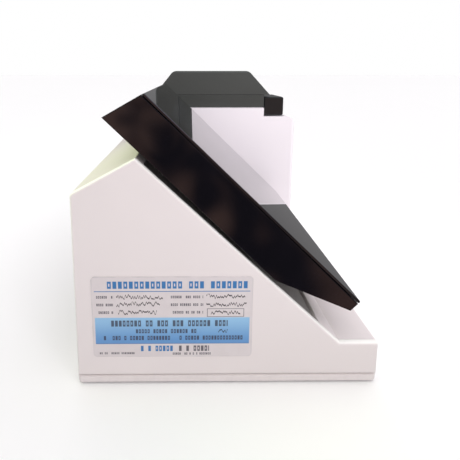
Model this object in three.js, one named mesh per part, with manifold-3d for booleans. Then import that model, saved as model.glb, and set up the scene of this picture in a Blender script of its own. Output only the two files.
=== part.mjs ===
// Microvolume spectrophotometer: a wedge-shaped bench instrument with a tilting touch display on its
// front slope, and a sampling arm hinged on the tower at its right.
// Millimetres. +Z is up, -Y is the front, and +X is the right-hand side seen from the front.
// The origin is on the bench under the centre of the overall outline.

import * as THREE from 'three';
import { mergeVertices } from 'three/addons/utils/BufferGeometryUtils.js';
import Module from 'manifold-3d';

const wasm = await Module();
wasm.setup();

// ---- Overall sizes ----
const BODY_WIDTH = 254;
const BODY_DEPTH = 200;
const FOOT_HEIGHT = 1.5;
const SEAM = 0.3; // clearance between neighbouring pieces
const SHELL_WALL = 2.5;
const PAST = 1; // how far a cutter, or a piece joined to another, runs past a face
const SUNK = 0.5; // how far a chip or foot is sunk into what it stands on
const SMALL_SIDES = 12;
const MEDIUM_SIDES = 16;
const PLAIN_SIDES = 20;
const ROUND_SIDES = 24;

// ---- Base tray and feet ----
const BASE_HEIGHT = 4.6;
const BASE_FLOOR = 2;
const BASE_CORNER = 3;
const FOOT_RADIUS = 8;
const FOOT_INSET = 22;
const POST_RADIUS = 4;
const POST_INSET = 8;

// ---- Side outline of the body ----
const SHOULDER_HEIGHT = 130.9;
const PEAK_HEIGHT = 153.5;
const PEAK_SETBACK = 41.2;
const LIP_DEPTH = 26;
const LIP_HEIGHT = 28;
const SHOULDER_RADIUS = 4;
const LIP_RADIUS = 2;
const PANEL_THICKNESS = 3;
const LOWER_BAND = 18;
const UPPER_BAND = 7;
const DECK_RECESS = 2;
const DECK_THICKNESS = 2.5;

// ---- Service label on the left panel ----
const LABEL_THICKNESS = 0.3;
const LABEL_LENGTH = 104;
const LABEL_TALL = 57;
const LABEL_FROM_REAR = 11.4;
const LABEL_ABOVE_BASE = 19.3;
const LABEL_RADIUS = 2.5;

// ---- Tower ----
const TOWER_WIDTH = 58;
const TOWER_PROUD = 9.8;
const TOWER_HEIGHT = 162;
const TOWER_SHOULDER = 148;
const TOWER_SETBACK = 25.6;
const STEP_HEIGHT = 151;
const STEP_DEPTH = 39.8;
const TOWER_NOSE_RADIUS = 11;
const TOWER_EDGE_RADIUS = 4.5;

// ---- Display ----
const DISPLAY_TOWER_GAP = 11.4;
const DISPLAY_THICKNESS = 28.5;
const DISPLAY_ABOVE = 150.8; // underside length above the hinge line
const DISPLAY_BELOW = 50.7; // front length below the hinge line
const DISPLAY_TOP_LEAN = 8;
const DISPLAY_TIP = 9;
const DISPLAY_LEAN_DEG = 1.1; // steeper than the deck slope
const DISPLAY_FROM_LIP = 63.4;
const DISPLAY_CLEARANCE = 2.1;
const DISPLAY_WALL = 3;
const GLASS_THICKNESS = 1.8;
const LCD_SIDE_MARGIN = 11.3;
const LCD_LENGTH = 104;
const LCD_THICKNESS = 4;
const LCD_ABOVE_HINGE = 22;
const DISPLAY_BOARD_WIDTH = 110;
const DISPLAY_BOARD_LENGTH = 60;
const DISPLAY_BOARD_ABOVE_LCD = 12;
const DISPLAY_BOARD_BEHIND_LCD = 9;
const DISPLAY_POST = 6;
// Chips on the display board, as [x, along, width, length, height].
const DISPLAY_CHIPS = [[20, 20, 18, 18, 2], [60, 6, 30, 8, 5]];

// ---- Display hinge ----
const PIVOT_OUT = 6;
const DISPLAY_PIN_RADIUS = 2.5;
const LUG_RADIUS = 5;
const LUG_WIDTH = 8;
const LUG_SPACING = 90;
const LUG_CLEARANCE = 4;
const BRACKET_PLATE = 1.6;
const BRACKET_REACH = 18;

// ---- Sampling arm ----
const ARM_WIDTH = 48.4;
const ARM_SETBACK = 32.6;
const ARM_WALL = 2.2;
const STRIP_HEIGHT = 15.9;
const ARM_COVER_HEIGHT = 29.7;
const COVER_REAR_RUN = 23.4;
const COVER_FRONT_RUN = 26;
const COVER_SIDE_RUN = 5;
const COVER_FRONT_SETBACK = 31.8; // from the tower's front
const COVER_RADIUS = 9;
const HEAD_LENGTH = 24.9;
const HEAD_FRONT_SETBACK = 13.5; // from the tower's front
const HEAD_HEIGHT = 23.8;
const HEAD_RADIUS = 2.5;
const HEAD_SIDE_INSET = 0.7;
const HEAD_CLEARANCE = 0.7;
const ARM_PIVOT_SETBACK = 7.7; // from the arm's rear end
const ARM_PIN_RADIUS = 2.5;
const KNUCKLE_WIDTH = 20;
const KNUCKLE_RADIUS = 4.8;
const BOSS_WIDTH = 6;
const ARM_HEEL_RADIUS = 7.6;
const BOSS_AHEAD = 7;
const NOTCH_AHEAD = 8;
const BRACKET_FOOT = 1.5;
const BRACKET_AHEAD = 7;
const BRACKET_BEHIND = 6;
const PIN_SHORT = 1; // of the bosses' outer faces
const COVER_SIDE_RADIUS = 3;
const HEAD_CROWN = 4;
const FIBRE_BELOW_HEAD_TOP = 8;
const FIBRE_WAY = 4; // half the passage through the head
const FRAME_WAY = 3;
const UPPER_PEDESTAL_BELOW_FIBRE = 5;
const ARM_FIBRE_ROUTE = { straight: 6, bend: 30, rise: 4, beforePivot: 40, end: 12, endRise: 2 };
const NOTCH_ABOVE_PIVOT = 6; // leaves room for the bracket when the arm is open

// ---- Sampling station ----
const PLATE_WIDTH = 44;
const PLATE_LENGTH = 28;
const PLATE_FLANGE = 3;
const FLANGE_THICKNESS = 2;
const PEDESTAL_RADIUS = 5;
const PEDESTAL_TIP_RADIUS = 2.5;
const PEDESTAL_RISE = 2.5; // lower pedestal's face above the plate
const PEDESTAL_TAPER = 1.5;
const PATH_LENGTH = 1; // gap between the two pedestals at rest
const HEAD_POCKET_RADIUS = 9;
const HEAD_POCKET_DEPTH = 6;
const SOLENOID_RADIUS = 11;
const SOLENOID_LENGTH = 26;
const SOLENOID_BELOW_STEP = 14;
const CRADLE_WALL = 3;
const CRADLE_FLOOR = 2;
const CRADLE_HALF_DEPTH = 9;

// ---- Rear connectors ----
const CONNECTOR_WIDTH = 128;
const CONNECTOR_TALL = 34;
const CONNECTOR_FROM_LEFT = 14;
const CONNECTOR_ABOVE_BASE = 17;
const CONNECTOR_PLATE = 2;
const CONNECTOR_LAP = 4;
const BUTTON_RADIUS = 7;
const BUTTON_TRAVEL = 1.5;
const BUTTON_PROUD = 2.4;
const INLET_RADIUS = 7;
const INLET_BORE = 4.6;
const USB_WIDTH = 13.2;
const USB_TALL = 5.8;
const NETWORK_WIDTH = 16.4;
const NETWORK_TALL = 13.6;
const SOCKET_WALL = 0.6;
const SOCKET_DEPTH = 14;
const PANEL_SCREW_RADIUS = 3;
const SCREW_PROUD = 1.8;
const SCREW_FROM_END = 3.5;
const SHANK_LENGTH = 3; // of the screws and the button, behind the panel
const SOCKET_PROUD = 1;
const INLET_BACK = 2;
const INLET_PIN_RADIUS = 1.1;
const INLET_PIN_SHORT = 6; // of the inlet's mouth
const CONNECTOR_PLACES = { power_button: 14, dc_inlet: 38, usb_left: 62, usb_right: 84,
  network_socket: 108 };
const IO_BOARD_FROM_LEFT = 4;
const IO_BOARD_FROM_RIGHT = 8;
const IO_BOARD_ABOVE_BASE = 2;
const IO_BOARD_ABOVE_PANEL = 6;
const SWITCH_HALF = 5;

// ---- Rear vents ----
const VENT_COUNT = 13;
const VENT_PITCH = 7;
const VENT_WIDTH = 3.2;
const VENT_TALL = 32;
const VENT_ABOVE_BASE = 76;

// ---- Inside ----
const MAIN_BOARD_WIDTH = 134;
const MAIN_BOARD_FROM_LEFT = 10;
const MAIN_BOARD_FROM_FRONT = 14;
const MAIN_BOARD_DEPTH = 58;
const BOARD_THICKNESS = 1.6;
const BENCH_FROM_LEFT = 12;
const BENCH_FROM_FRONT = 78;
const BENCH_DEPTH = 58;
const BENCH_LAMP_GAP = 14;
const BENCH_CHAMFER = 24;
const BENCH_WALL = 5;
const BENCH_HEIGHT = 40;
const BENCH_COVER = 3;
const LAMP_WIDTH = 44;
const LAMP_DEPTH = 50;
const LAMP_FROM_TOWER = 26;
const LAMP_HEIGHT = 36;
const INNER_FLOOR_GAP = 6;
const FIBRE_RADIUS = 1.5;
const POWER_BOARD_WIDTH = 44;
const POWER_BOARD_DEPTH = 70;
const POWER_BOARD_FROM_WALL = 7;
const POWER_BOARD_FROM_REAR = 14;
const TRANSFORMER = { x: 6, y: 10, width: 18, depth: 20, tall: 16 };
const CAPACITOR = { fromRight: 12, y: 50, radius: 6, tall: 20 };
const LAMP_CAP_RADIUS = 12;
const LAMP_CAP_HEIGHT = 9;
// Chips on the main board, as [x, y, width, depth, height].
const MAIN_CHIPS = [[30, 18, 22, 22, 2.5], [62, 20, 14, 10, 1.6], [84, 14, 10, 14, 1.6],
  [104, 10, 24, 8, 6], [12, 10, 8, 26, 5]];
const FIBRE_FROM_BENCH_REAR = 8;
const FIBRE_CLEARANCE = 2;
const FIBRE_SIDES = 8;
const ARM_FIBRE_STEPS = 16;
const FIBRE_STEPS = 56;
const FIBRE_ROUTE = {
  straight: 8, lampMargin: 4, behindLamp: 6, beforeWall: 6, aside: 4, rise: 24, approach: 14, end: 4,
};

// ---- Worked out from the sizes above ----
const HALF_WIDTH = BODY_WIDTH / 2;
const REAR = (BODY_DEPTH + TOWER_PROUD) / 2;
const FRONT = REAR - BODY_DEPTH;
const TOWER_FRONT = FRONT - TOWER_PROUD;
const TOWER_LEFT = HALF_WIDTH - TOWER_WIDTH;
const BASE_TOP = FOOT_HEIGHT + BASE_HEIGHT;
const FLOOR_TOP = FOOT_HEIGHT + BASE_FLOOR;
const SHELL_BOTTOM = BASE_TOP + SEAM;
const PANEL_FACE = -HALF_WIDTH + LABEL_THICKNESS;
const HOUSING_LEFT = PANEL_FACE + PANEL_THICKNESS + SEAM;
const HOUSING_RIGHT = TOWER_LEFT - SEAM;
const INNER_FLOOR = FLOOR_TOP + INNER_FLOOR_GAP;

// ---- Placing ----
// A point on the side outline, from its distance in front of the rear wall and height above the feet.
const at = (fromRear, height) => [REAR - fromRear, FOOT_HEIGHT + height];
const peak = at(PEAK_SETBACK, PEAK_HEIGHT);
const slopeFoot = at(BODY_DEPTH - LIP_DEPTH, LIP_HEIGHT);
const slopeLength = Math.hypot(peak[0] - slopeFoot[0], peak[1] - slopeFoot[1]);
const slopeAngle = Math.atan2(peak[1] - slopeFoot[1], peak[0] - slopeFoot[0]);

// A frame lying on a slope: "along" runs up the slope and "out" stands off it.
function slopeFrame(origin, angle) {
  const [c, s] = [Math.cos(angle), Math.sin(angle)];
  return (along, out) => [origin[0] + along * c - out * s, origin[1] + along * s + out * c];
}
const onDeck = slopeFrame(slopeFoot, slopeAngle);
const displayAngle = slopeAngle + THREE.MathUtils.degToRad(DISPLAY_LEAN_DEG);
const onDisplay = slopeFrame(onDeck(DISPLAY_FROM_LIP, DISPLAY_CLEARANCE), displayAngle);

// ---- Solids ----
const SIDE_AXES = new THREE.Matrix4().makeBasis(
  new THREE.Vector3(0, 1, 0), new THREE.Vector3(0, 0, 1), new THREE.Vector3(1, 0, 0));
const FRONT_AXES = new THREE.Matrix4().makeBasis(
  new THREE.Vector3(1, 0, 0), new THREE.Vector3(0, 0, 1), new THREE.Vector3(0, -1, 0));

// A closed outline from [a, b] or [a, b, radius] corners, the radius rounding that corner.
function outline(corners) {
  const shape = new THREE.Shape();
  corners.forEach(([a, b, radius = 0], i) => {
    const here = new THREE.Vector2(a, b);
    const before = new THREE.Vector2(...corners.at(i - 1).slice(0, 2));
    const after = new THREE.Vector2(...corners[(i + 1) % corners.length].slice(0, 2));
    const inDirection = before.sub(here).normalize();
    const outDirection = after.sub(here).normalize();
    const half = inDirection.angleTo(outDirection) / 2;
    const start = here.clone().addScaledVector(inDirection, radius / Math.tan(half));
    const end = here.clone().addScaledVector(outDirection, radius / Math.tan(half));
    if (i === 0) shape.moveTo(start.x, start.y);
    else shape.lineTo(start.x, start.y);
    if (radius > 0) {
      const toCentre = inDirection.add(outDirection).normalize();
      const centre = here.clone().addScaledVector(toCentre, radius / Math.sin(half));
      const startAngle = Math.atan2(start.y - centre.y, start.x - centre.x);
      const endAngle = Math.atan2(end.y - centre.y, end.x - centre.x);
      const clockwise = start.clone().sub(centre).cross(end.clone().sub(centre)) < 0;
      shape.absarc(centre.x, centre.y, radius, startAngle, endAngle, clockwise);
    }
  });
  return shape;
}

// The same corners moved inwards by a wall thickness. The corners run anticlockwise.
function inset(corners, wall) {
  const points = corners.map(([a, b]) => new THREE.Vector2(a, b));
  const area = THREE.ShapeUtils.area(points);
  return points.map((here, i) => {
    const before = here.clone().sub(points.at(i - 1)).normalize();
    const after = points[(i + 1) % points.length].clone().sub(here).normalize();
    const turn = Math.sign(area);
    const normal = new THREE.Vector2(-before.y - after.y, before.x + after.x).multiplyScalar(turn);
    const scale = wall / (1 + before.dot(after));
    const radius = Math.max((corners[i][2] ?? 0) - wall, 0);
    return [here.x + normal.x * scale, here.y + normal.y * scale, radius];
  });
}

function extrude(corners, depth, curveSegments = 4) {
  return new THREE.ExtrudeGeometry(outline(corners), { depth, bevelEnabled: false, curveSegments });
}
// Outlines in Y and Z swept along X, in X and Z swept along Y, and in X and Y swept along Z.
const sweepX = (corners, x0, x1) => extrude(corners, x1 - x0).applyMatrix4(SIDE_AXES).translate(x0, 0, 0);
const sweepY = (corners, y0, y1) => extrude(corners, y1 - y0).applyMatrix4(FRONT_AXES).translate(0, y1, 0);
const sweepZ = (corners, z0, z1) => extrude(corners, z1 - z0).translate(0, 0, z0);

function box(x0, x1, y0, y1, z0, z1) {
  return new THREE.BoxGeometry(x1 - x0, y1 - y0, z1 - z0)
    .translate((x0 + x1) / 2, (y0 + y1) / 2, (z0 + z1) / 2);
}

// A round bar from one end to the other along X, Y or Z.
function rod(axis, radius, start, end, sides = PLAIN_SIDES) {
  const length = end.distanceTo(start);
  const bar = new THREE.CylinderGeometry(radius, radius, length, sides);
  if (axis === 'x') bar.rotateZ(Math.PI / 2);
  if (axis === 'z') bar.rotateX(Math.PI / 2);
  const middle = start.clone().lerp(end, 0.5);
  return bar.translate(middle.x, middle.y, middle.z);
}
const rodX = (radius, x0, x1, [y, z], sides) =>
  rod('x', radius, new THREE.Vector3(x0, y, z), new THREE.Vector3(x1, y, z), sides);
const rodY = (radius, y0, y1, [x, z], sides) =>
  rod('y', radius, new THREE.Vector3(x, y0, z), new THREE.Vector3(x, y1, z), sides);
const rodZ = (radius, z0, z1, [x, y], sides) =>
  rod('z', radius, new THREE.Vector3(x, y, z0), new THREE.Vector3(x, y, z1), sides);

function rectangle(a0, a1, b0, b1, radius = 0) {
  return [[a0, b0, radius], [a1, b0, radius], [a1, b1, radius], [a0, b1, radius]];
}

function toSolid(geometry) {
  const plain = geometry.clone();
  plain.deleteAttribute('normal');
  plain.deleteAttribute('uv');
  const merged = mergeVertices(plain, 1e-4);
  return new wasm.Manifold(new wasm.Mesh({
    numProp: 3,
    vertProperties: new Float32Array(merged.attributes.position.array),
    triVerts: new Uint32Array(merged.index.array),
  }));
}

function toGeometry(solid) {
  const mesh = solid.getMesh();
  const geometry = new THREE.BufferGeometry();
  geometry.setAttribute('position', new THREE.BufferAttribute(mesh.vertProperties, 3));
  geometry.setIndex(new THREE.BufferAttribute(mesh.triVerts, 1));
  geometry.computeVertexNormals();
  return geometry;
}

function combine(operation, first, others) {
  return toGeometry(others.reduce((solid, other) => solid[operation](toSolid(other)), toSolid(first)));
}
const join = (first, ...others) => combine('add', first, others);
const cut = (first, ...others) => combine('subtract', first, others);
const common = (first, ...others) => combine('intersect', first, others);

// ---- Materials ----
const plastic = (color, roughness) => new THREE.MeshStandardMaterial({ color, roughness, metalness: 0 });
const metal = (color, roughness) => new THREE.MeshStandardMaterial({ color, roughness, metalness: 1 });
const white = () => plastic(0xe8dede, 0.45);
const greyDeck = () => plastic(0x8b827f, 0.6);
const glossBlack = () => plastic(0x121116, 0.08);
const armGrey = () => plastic(0x555a57, 0.5);
const armDark = () => plastic(0x262a2c, 0.35);
const steel = () => metal(0xb9bcc0, 0.3);
const circuit = () => plastic(0x1f5a3a, 0.5);
const rubber = () => plastic(0x1b1b1b, 0.9);
const label = () => plastic(0xe6e6ea, 0.3);
const screen = () => plastic(0x26282c, 0.3);
const jacket = () => plastic(0x2f2f34, 0.5);
const coil = () => metal(0x8a6a3a, 0.4);
const benchMetal = () => metal(0x6f7276, 0.5);
const benchBlack = () => metal(0x2c2d30, 0.5);
const lampMetal = () => metal(0x9a9da1, 0.45);

const spectrophotometer = new THREE.Group();
function add(name, geometry, material) {
  const mesh = new THREE.Mesh(geometry, material);
  mesh.name = name;
  spectrophotometer.add(mesh);
}

// ---- Base ----
function footprint() {
  return [
    [PANEL_FACE, REAR, BASE_CORNER],
    [PANEL_FACE, FRONT, BASE_CORNER],
    [TOWER_LEFT, FRONT],
    [TOWER_LEFT, TOWER_FRONT, TOWER_EDGE_RADIUS],
    [HALF_WIDTH, TOWER_FRONT, TOWER_EDGE_RADIUS],
    [HALF_WIDTH, REAR, BASE_CORNER],
  ];
}

const footPlaces = {
  front_left: [-HALF_WIDTH + FOOT_INSET, FRONT + FOOT_INSET],
  front_right: [HALF_WIDTH - FOOT_INSET, FRONT + FOOT_INSET],
  rear_left: [-HALF_WIDTH + FOOT_INSET, REAR - FOOT_INSET],
  rear_right: [HALF_WIDTH - FOOT_INSET, REAR - FOOT_INSET],
};

// The inside pieces, as [x0, x1, y0, y1] places on the floor.
const inside = {
  board: [
    HOUSING_LEFT + MAIN_BOARD_FROM_LEFT, HOUSING_LEFT + MAIN_BOARD_FROM_LEFT + MAIN_BOARD_WIDTH,
    FRONT + MAIN_BOARD_FROM_FRONT, FRONT + MAIN_BOARD_FROM_FRONT + MAIN_BOARD_DEPTH,
  ],
  bench: [
    HOUSING_LEFT + BENCH_FROM_LEFT, TOWER_LEFT - LAMP_FROM_TOWER - LAMP_WIDTH - BENCH_LAMP_GAP,
    FRONT + BENCH_FROM_FRONT, FRONT + BENCH_FROM_FRONT + BENCH_DEPTH,
  ],
  lamp: [
    TOWER_LEFT - LAMP_FROM_TOWER - LAMP_WIDTH, TOWER_LEFT - LAMP_FROM_TOWER,
    FRONT + BENCH_FROM_FRONT, FRONT + BENCH_FROM_FRONT + LAMP_DEPTH,
  ],
  power: [
    TOWER_LEFT + POWER_BOARD_FROM_WALL, TOWER_LEFT + POWER_BOARD_FROM_WALL + POWER_BOARD_WIDTH,
    REAR - POWER_BOARD_FROM_REAR - POWER_BOARD_DEPTH, REAR - POWER_BOARD_FROM_REAR,
  ],
};

function postPlaces([x0, x1, y0, y1]) {
  return [x0 + POST_INSET, x1 - POST_INSET].flatMap((x) =>
    [y0 + POST_INSET, y1 - POST_INSET].map((y) => [x, y]));
}

function baseTray() {
  const tray = sweepZ(footprint(), FOOT_HEIGHT, BASE_TOP);
  const hollow = sweepZ(inset(footprint(), SHELL_WALL), FLOOR_TOP, BASE_TOP + PAST);
  const posts = Object.values(inside).flatMap(postPlaces)
    .map((place) => rodZ(POST_RADIUS, FLOOR_TOP - PAST, INNER_FLOOR - SEAM, place, SMALL_SIDES));
  return join(cut(tray, hollow), ...posts);
}

add('base_tray', baseTray(), white());
for (const [corner, place] of Object.entries(footPlaces)) {
  add(`foot_${corner}`, rodZ(FOOT_RADIUS, 0, FOOT_HEIGHT, place), rubber());
}

// ---- Body shell ----
function panelOutline(bottom) {
  return [
    [REAR, bottom],
    [...at(0, SHOULDER_HEIGHT), SHOULDER_RADIUS],
    peak,
    slopeFoot,
    [...at(BODY_DEPTH, LIP_HEIGHT), LIP_RADIUS],
    [FRONT, bottom],
  ];
}

const deckFloor = DECK_RECESS + DECK_THICKNESS + SEAM;
function housingOutline(bottom) {
  return [
    [REAR, bottom],
    [...at(0, SHOULDER_HEIGHT), SHOULDER_RADIUS],
    peak,
    onDeck(slopeLength - UPPER_BAND, 0),
    onDeck(slopeLength - UPPER_BAND, -deckFloor),
    onDeck(LOWER_BAND, -deckFloor),
    onDeck(LOWER_BAND, 0),
    slopeFoot,
    [...at(BODY_DEPTH, LIP_HEIGHT), LIP_RADIUS],
    [FRONT, bottom],
  ];
}

const connector = {
  x0: HOUSING_LEFT + CONNECTOR_FROM_LEFT,
  x1: HOUSING_LEFT + CONNECTOR_FROM_LEFT + CONNECTOR_WIDTH,
  z0: FOOT_HEIGHT + CONNECTOR_ABOVE_BASE,
  z1: FOOT_HEIGHT + CONNECTOR_ABOVE_BASE + CONNECTOR_TALL,
};

function rearVents(centreX) {
  const z0 = FOOT_HEIGHT + VENT_ABOVE_BASE;
  return Array.from({ length: VENT_COUNT }, (_, i) => {
    const x = centreX + (i - (VENT_COUNT - 1) / 2) * VENT_PITCH;
    return box(x - VENT_WIDTH / 2, x + VENT_WIDTH / 2, REAR - 2 * SHELL_WALL, REAR + PAST, z0,
      z0 + VENT_TALL);
  });
}

function mainHousing() {
  const body = sweepX(housingOutline(SHELL_BOTTOM), HOUSING_LEFT, HOUSING_RIGHT);
  const hollow = sweepX(inset(housingOutline(SHELL_BOTTOM - 2 * SHELL_WALL), SHELL_WALL),
    HOUSING_LEFT - PAST, HOUSING_RIGHT + PAST);
  const opening = box(connector.x0, connector.x1, REAR - 2 * SHELL_WALL, REAR + PAST, connector.z0,
    connector.z1);
  return cut(body, hollow, opening, ...rearVents((connector.x0 + connector.x1) / 2));
}

add('left_side_panel',
  sweepX(panelOutline(SHELL_BOTTOM), PANEL_FACE, PANEL_FACE + PANEL_THICKNESS), white());
add('main_housing', mainHousing(), white());
add('deck_insert', sweepX([
  onDeck(LOWER_BAND + SEAM, -DECK_RECESS - DECK_THICKNESS),
  onDeck(slopeLength - UPPER_BAND - SEAM, -DECK_RECESS - DECK_THICKNESS),
  onDeck(slopeLength - UPPER_BAND - SEAM, -DECK_RECESS),
  onDeck(LOWER_BAND + SEAM, -DECK_RECESS),
], HOUSING_LEFT, HOUSING_RIGHT), greyDeck());
add('service_label', sweepX(rectangle(
  REAR - LABEL_FROM_REAR - LABEL_LENGTH, REAR - LABEL_FROM_REAR,
  FOOT_HEIGHT + LABEL_ABOVE_BASE, FOOT_HEIGHT + LABEL_ABOVE_BASE + LABEL_TALL, LABEL_RADIUS,
), -HALF_WIDTH, PANEL_FACE), label());

// ---- Tower ----
const stepY = TOWER_FRONT + STEP_DEPTH;
const stepTop = FOOT_HEIGHT + STEP_HEIGHT;
const towerTop = FOOT_HEIGHT + TOWER_HEIGHT;

function towerOutline(bottom) {
  return [
    [REAR, bottom],
    [REAR, FOOT_HEIGHT + TOWER_SHOULDER, SHOULDER_RADIUS],
    [REAR - TOWER_SETBACK, towerTop],
    [stepY, towerTop],
    [stepY, stepTop],
    [TOWER_FRONT, stepTop, TOWER_NOSE_RADIUS],
    [TOWER_FRONT, bottom],
  ];
}
function towerPlan(grow) {
  return [
    [TOWER_LEFT, REAR + grow],
    [TOWER_LEFT, TOWER_FRONT, TOWER_EDGE_RADIUS],
    [HALF_WIDTH, TOWER_FRONT, TOWER_EDGE_RADIUS],
    [HALF_WIDTH, REAR + grow, BASE_CORNER],
  ];
}

const armCentreX = TOWER_LEFT + TOWER_WIDTH / 2;
const headFront = TOWER_FRONT + HEAD_FRONT_SETBACK;
const headRear = headFront + HEAD_LENGTH;
const pedestalY = (headFront + headRear) / 2;
const fibreHole = { y: inside.bench[3] - FIBRE_FROM_BENCH_REAR, z: INNER_FLOOR + LAMP_HEIGHT / 2 };

function towerHousing() {
  const body = common(sweepX(towerOutline(SHELL_BOTTOM), TOWER_LEFT, HALF_WIDTH),
    sweepZ(towerPlan(0), SHELL_BOTTOM - PAST, towerTop + PAST));
  const hollow = common(
    sweepX(inset(towerOutline(SHELL_BOTTOM - 2 * SHELL_WALL), SHELL_WALL),
      TOWER_LEFT + SHELL_WALL, HALF_WIDTH - SHELL_WALL),
    sweepZ(inset(towerPlan(0), SHELL_WALL), SHELL_BOTTOM - 2 * SHELL_WALL, towerTop));
  const plateHole = sweepZ(rectangle(
    armCentreX - PLATE_WIDTH / 2 - SEAM, armCentreX + PLATE_WIDTH / 2 + SEAM,
    pedestalY - PLATE_LENGTH / 2 - SEAM, pedestalY + PLATE_LENGTH / 2 + SEAM),
  stepTop - 2 * SHELL_WALL, stepTop + PAST);
  const cable = rodX(FIBRE_RADIUS + FIBRE_CLEARANCE, TOWER_LEFT - PAST, TOWER_LEFT + SHELL_WALL + PAST,
    [fibreHole.y, fibreHole.z], SMALL_SIDES);
  return cut(body, hollow, plateHole, cable);
}
add('tower_housing', towerHousing(), white());

// ---- Sampling station ----
const pedestalFace = stepTop + PEDESTAL_RISE;

function pedestalPlate() {
  const plan = (margin) => rectangle(
    armCentreX - PLATE_WIDTH / 2 - margin, armCentreX + PLATE_WIDTH / 2 + margin,
    pedestalY - PLATE_LENGTH / 2 - margin, pedestalY + PLATE_LENGTH / 2 + margin);
  const top = sweepZ(plan(0), stepTop - SHELL_WALL - 2 * SEAM, stepTop);
  const flange = sweepZ(plan(PLATE_FLANGE), stepTop - SHELL_WALL - SEAM - FLANGE_THICKNESS,
    stepTop - SHELL_WALL - SEAM);
  return cut(join(flange, top),
    rodZ(PEDESTAL_RADIUS + SEAM, stepTop - 3 * SHELL_WALL, stepTop + PAST, [armCentreX, pedestalY]));
}

// A shape turned about Z from [radius, height] points that start and end on the axis.
function turned(points, [x, y], segments = ROUND_SIDES) {
  const profile = points.map(([radius, height]) => new THREE.Vector2(radius, height));
  return new THREE.LatheGeometry(profile, segments).rotateX(Math.PI / 2).translate(x, y, 0);
}

const solenoidTop = stepTop - SOLENOID_BELOW_STEP;
add('pedestal_plate', pedestalPlate(), steel());
add('lower_pedestal', turned([
  [0, solenoidTop + SEAM + PATH_LENGTH],
  [PEDESTAL_RADIUS, solenoidTop + SEAM + PATH_LENGTH],
  [PEDESTAL_RADIUS, pedestalFace - PEDESTAL_TAPER],
  [PEDESTAL_TIP_RADIUS, pedestalFace],
  [0, pedestalFace],
], [armCentreX, pedestalY]), steel());
add('pedestal_solenoid', turned([
  [0, solenoidTop - SOLENOID_LENGTH],
  [SOLENOID_RADIUS, solenoidTop - SOLENOID_LENGTH],
  [SOLENOID_RADIUS, solenoidTop],
  [0, solenoidTop],
], [armCentreX, pedestalY]), coil());
// The solenoid's cradle hangs from the plate's flange on two legs.
function solenoidCradle() {
  const legTop = stepTop - SHELL_WALL - 2 * SEAM - FLANGE_THICKNESS;
  const floor = solenoidTop - SOLENOID_LENGTH - SEAM;
  const reach = SOLENOID_RADIUS + SEAM;
  const slab = (x0, x1, z0, z1) =>
    box(x0, x1, pedestalY - CRADLE_HALF_DEPTH, pedestalY + CRADLE_HALF_DEPTH, z0, z1);
  return join(
    slab(armCentreX - reach - CRADLE_WALL, armCentreX + reach + CRADLE_WALL, floor - CRADLE_FLOOR, floor),
    slab(armCentreX - reach - CRADLE_WALL, armCentreX - reach, floor - PAST, legTop),
    slab(armCentreX + reach, armCentreX + reach + CRADLE_WALL, floor - PAST, legTop));
}
add('solenoid_cradle', solenoidCradle(), steel());

// ---- Arm ----
const armLeft = armCentreX - ARM_WIDTH / 2;
const armRight = armCentreX + ARM_WIDTH / 2;
const armRear = REAR - ARM_SETBACK;
const stripBottom = towerTop + SEAM;
const stripTop = stripBottom + STRIP_HEIGHT;
const armPivot = [armRear - ARM_PIVOT_SETBACK, stripBottom + ARM_PIVOT_SETBACK];
const frameFront = headRear + SEAM;
const headBottom = stepTop + HEAD_CLEARANCE;
const headTop = headBottom + HEAD_HEIGHT;
const armFibreZ = headTop - FIBRE_BELOW_HEAD_TOP;

function stripOutline() {
  return [
    [armRear, stripTop],
    [frameFront, stripTop],
    [frameFront, stripBottom],
    [armRear, stripBottom, ARM_HEEL_RADIUS],
  ];
}

function armFrame() {
  const raised = [
    [armRear, stripTop + 2 * ARM_WALL],
    [frameFront, stripTop + 2 * ARM_WALL],
    [frameFront, stripBottom],
    [armRear, stripBottom, ARM_HEEL_RADIUS],
  ];
  const tray = cut(sweepX(stripOutline(), armLeft, armRight),
    sweepX(inset(raised, ARM_WALL), armLeft + ARM_WALL, armRight - ARM_WALL));
  const bossX = [armCentreX - KNUCKLE_WIDTH / 2 - SEAM - BOSS_WIDTH, armCentreX + KNUCKLE_WIDTH / 2 + SEAM];
  const bosses = bossX.map((x) => common(sweepX(stripOutline(), x, x + BOSS_WIDTH),
    box(x - PAST, x + BOSS_WIDTH + PAST, armPivot[0] - BOSS_AHEAD, armRear + PAST, stripBottom,
      stripTop - PAST)));
  const knuckleNotch = box(
    armCentreX - KNUCKLE_WIDTH / 2 - SEAM, armCentreX + KNUCKLE_WIDTH / 2 + SEAM,
    armPivot[0] - NOTCH_AHEAD, armRear + PAST, stripBottom - PAST, armPivot[1] + NOTCH_ABOVE_PIVOT);
  const pinHole = rodX(ARM_PIN_RADIUS + SEAM, bossX[0] - PAST, bossX[1] + BOSS_WIDTH + PAST, armPivot,
    MEDIUM_SIDES);
  const fibreWay = box(armCentreX - FIBRE_WAY, armCentreX + FIBRE_WAY,
    frameFront - PAST, frameFront + 2 * ARM_WALL, armFibreZ - FRAME_WAY, armFibreZ + FRAME_WAY);
  return cut(join(tray, ...bosses), knuckleNotch, pinHole, fibreWay);
}
add('arm_frame', armFrame(), armGrey());

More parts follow.
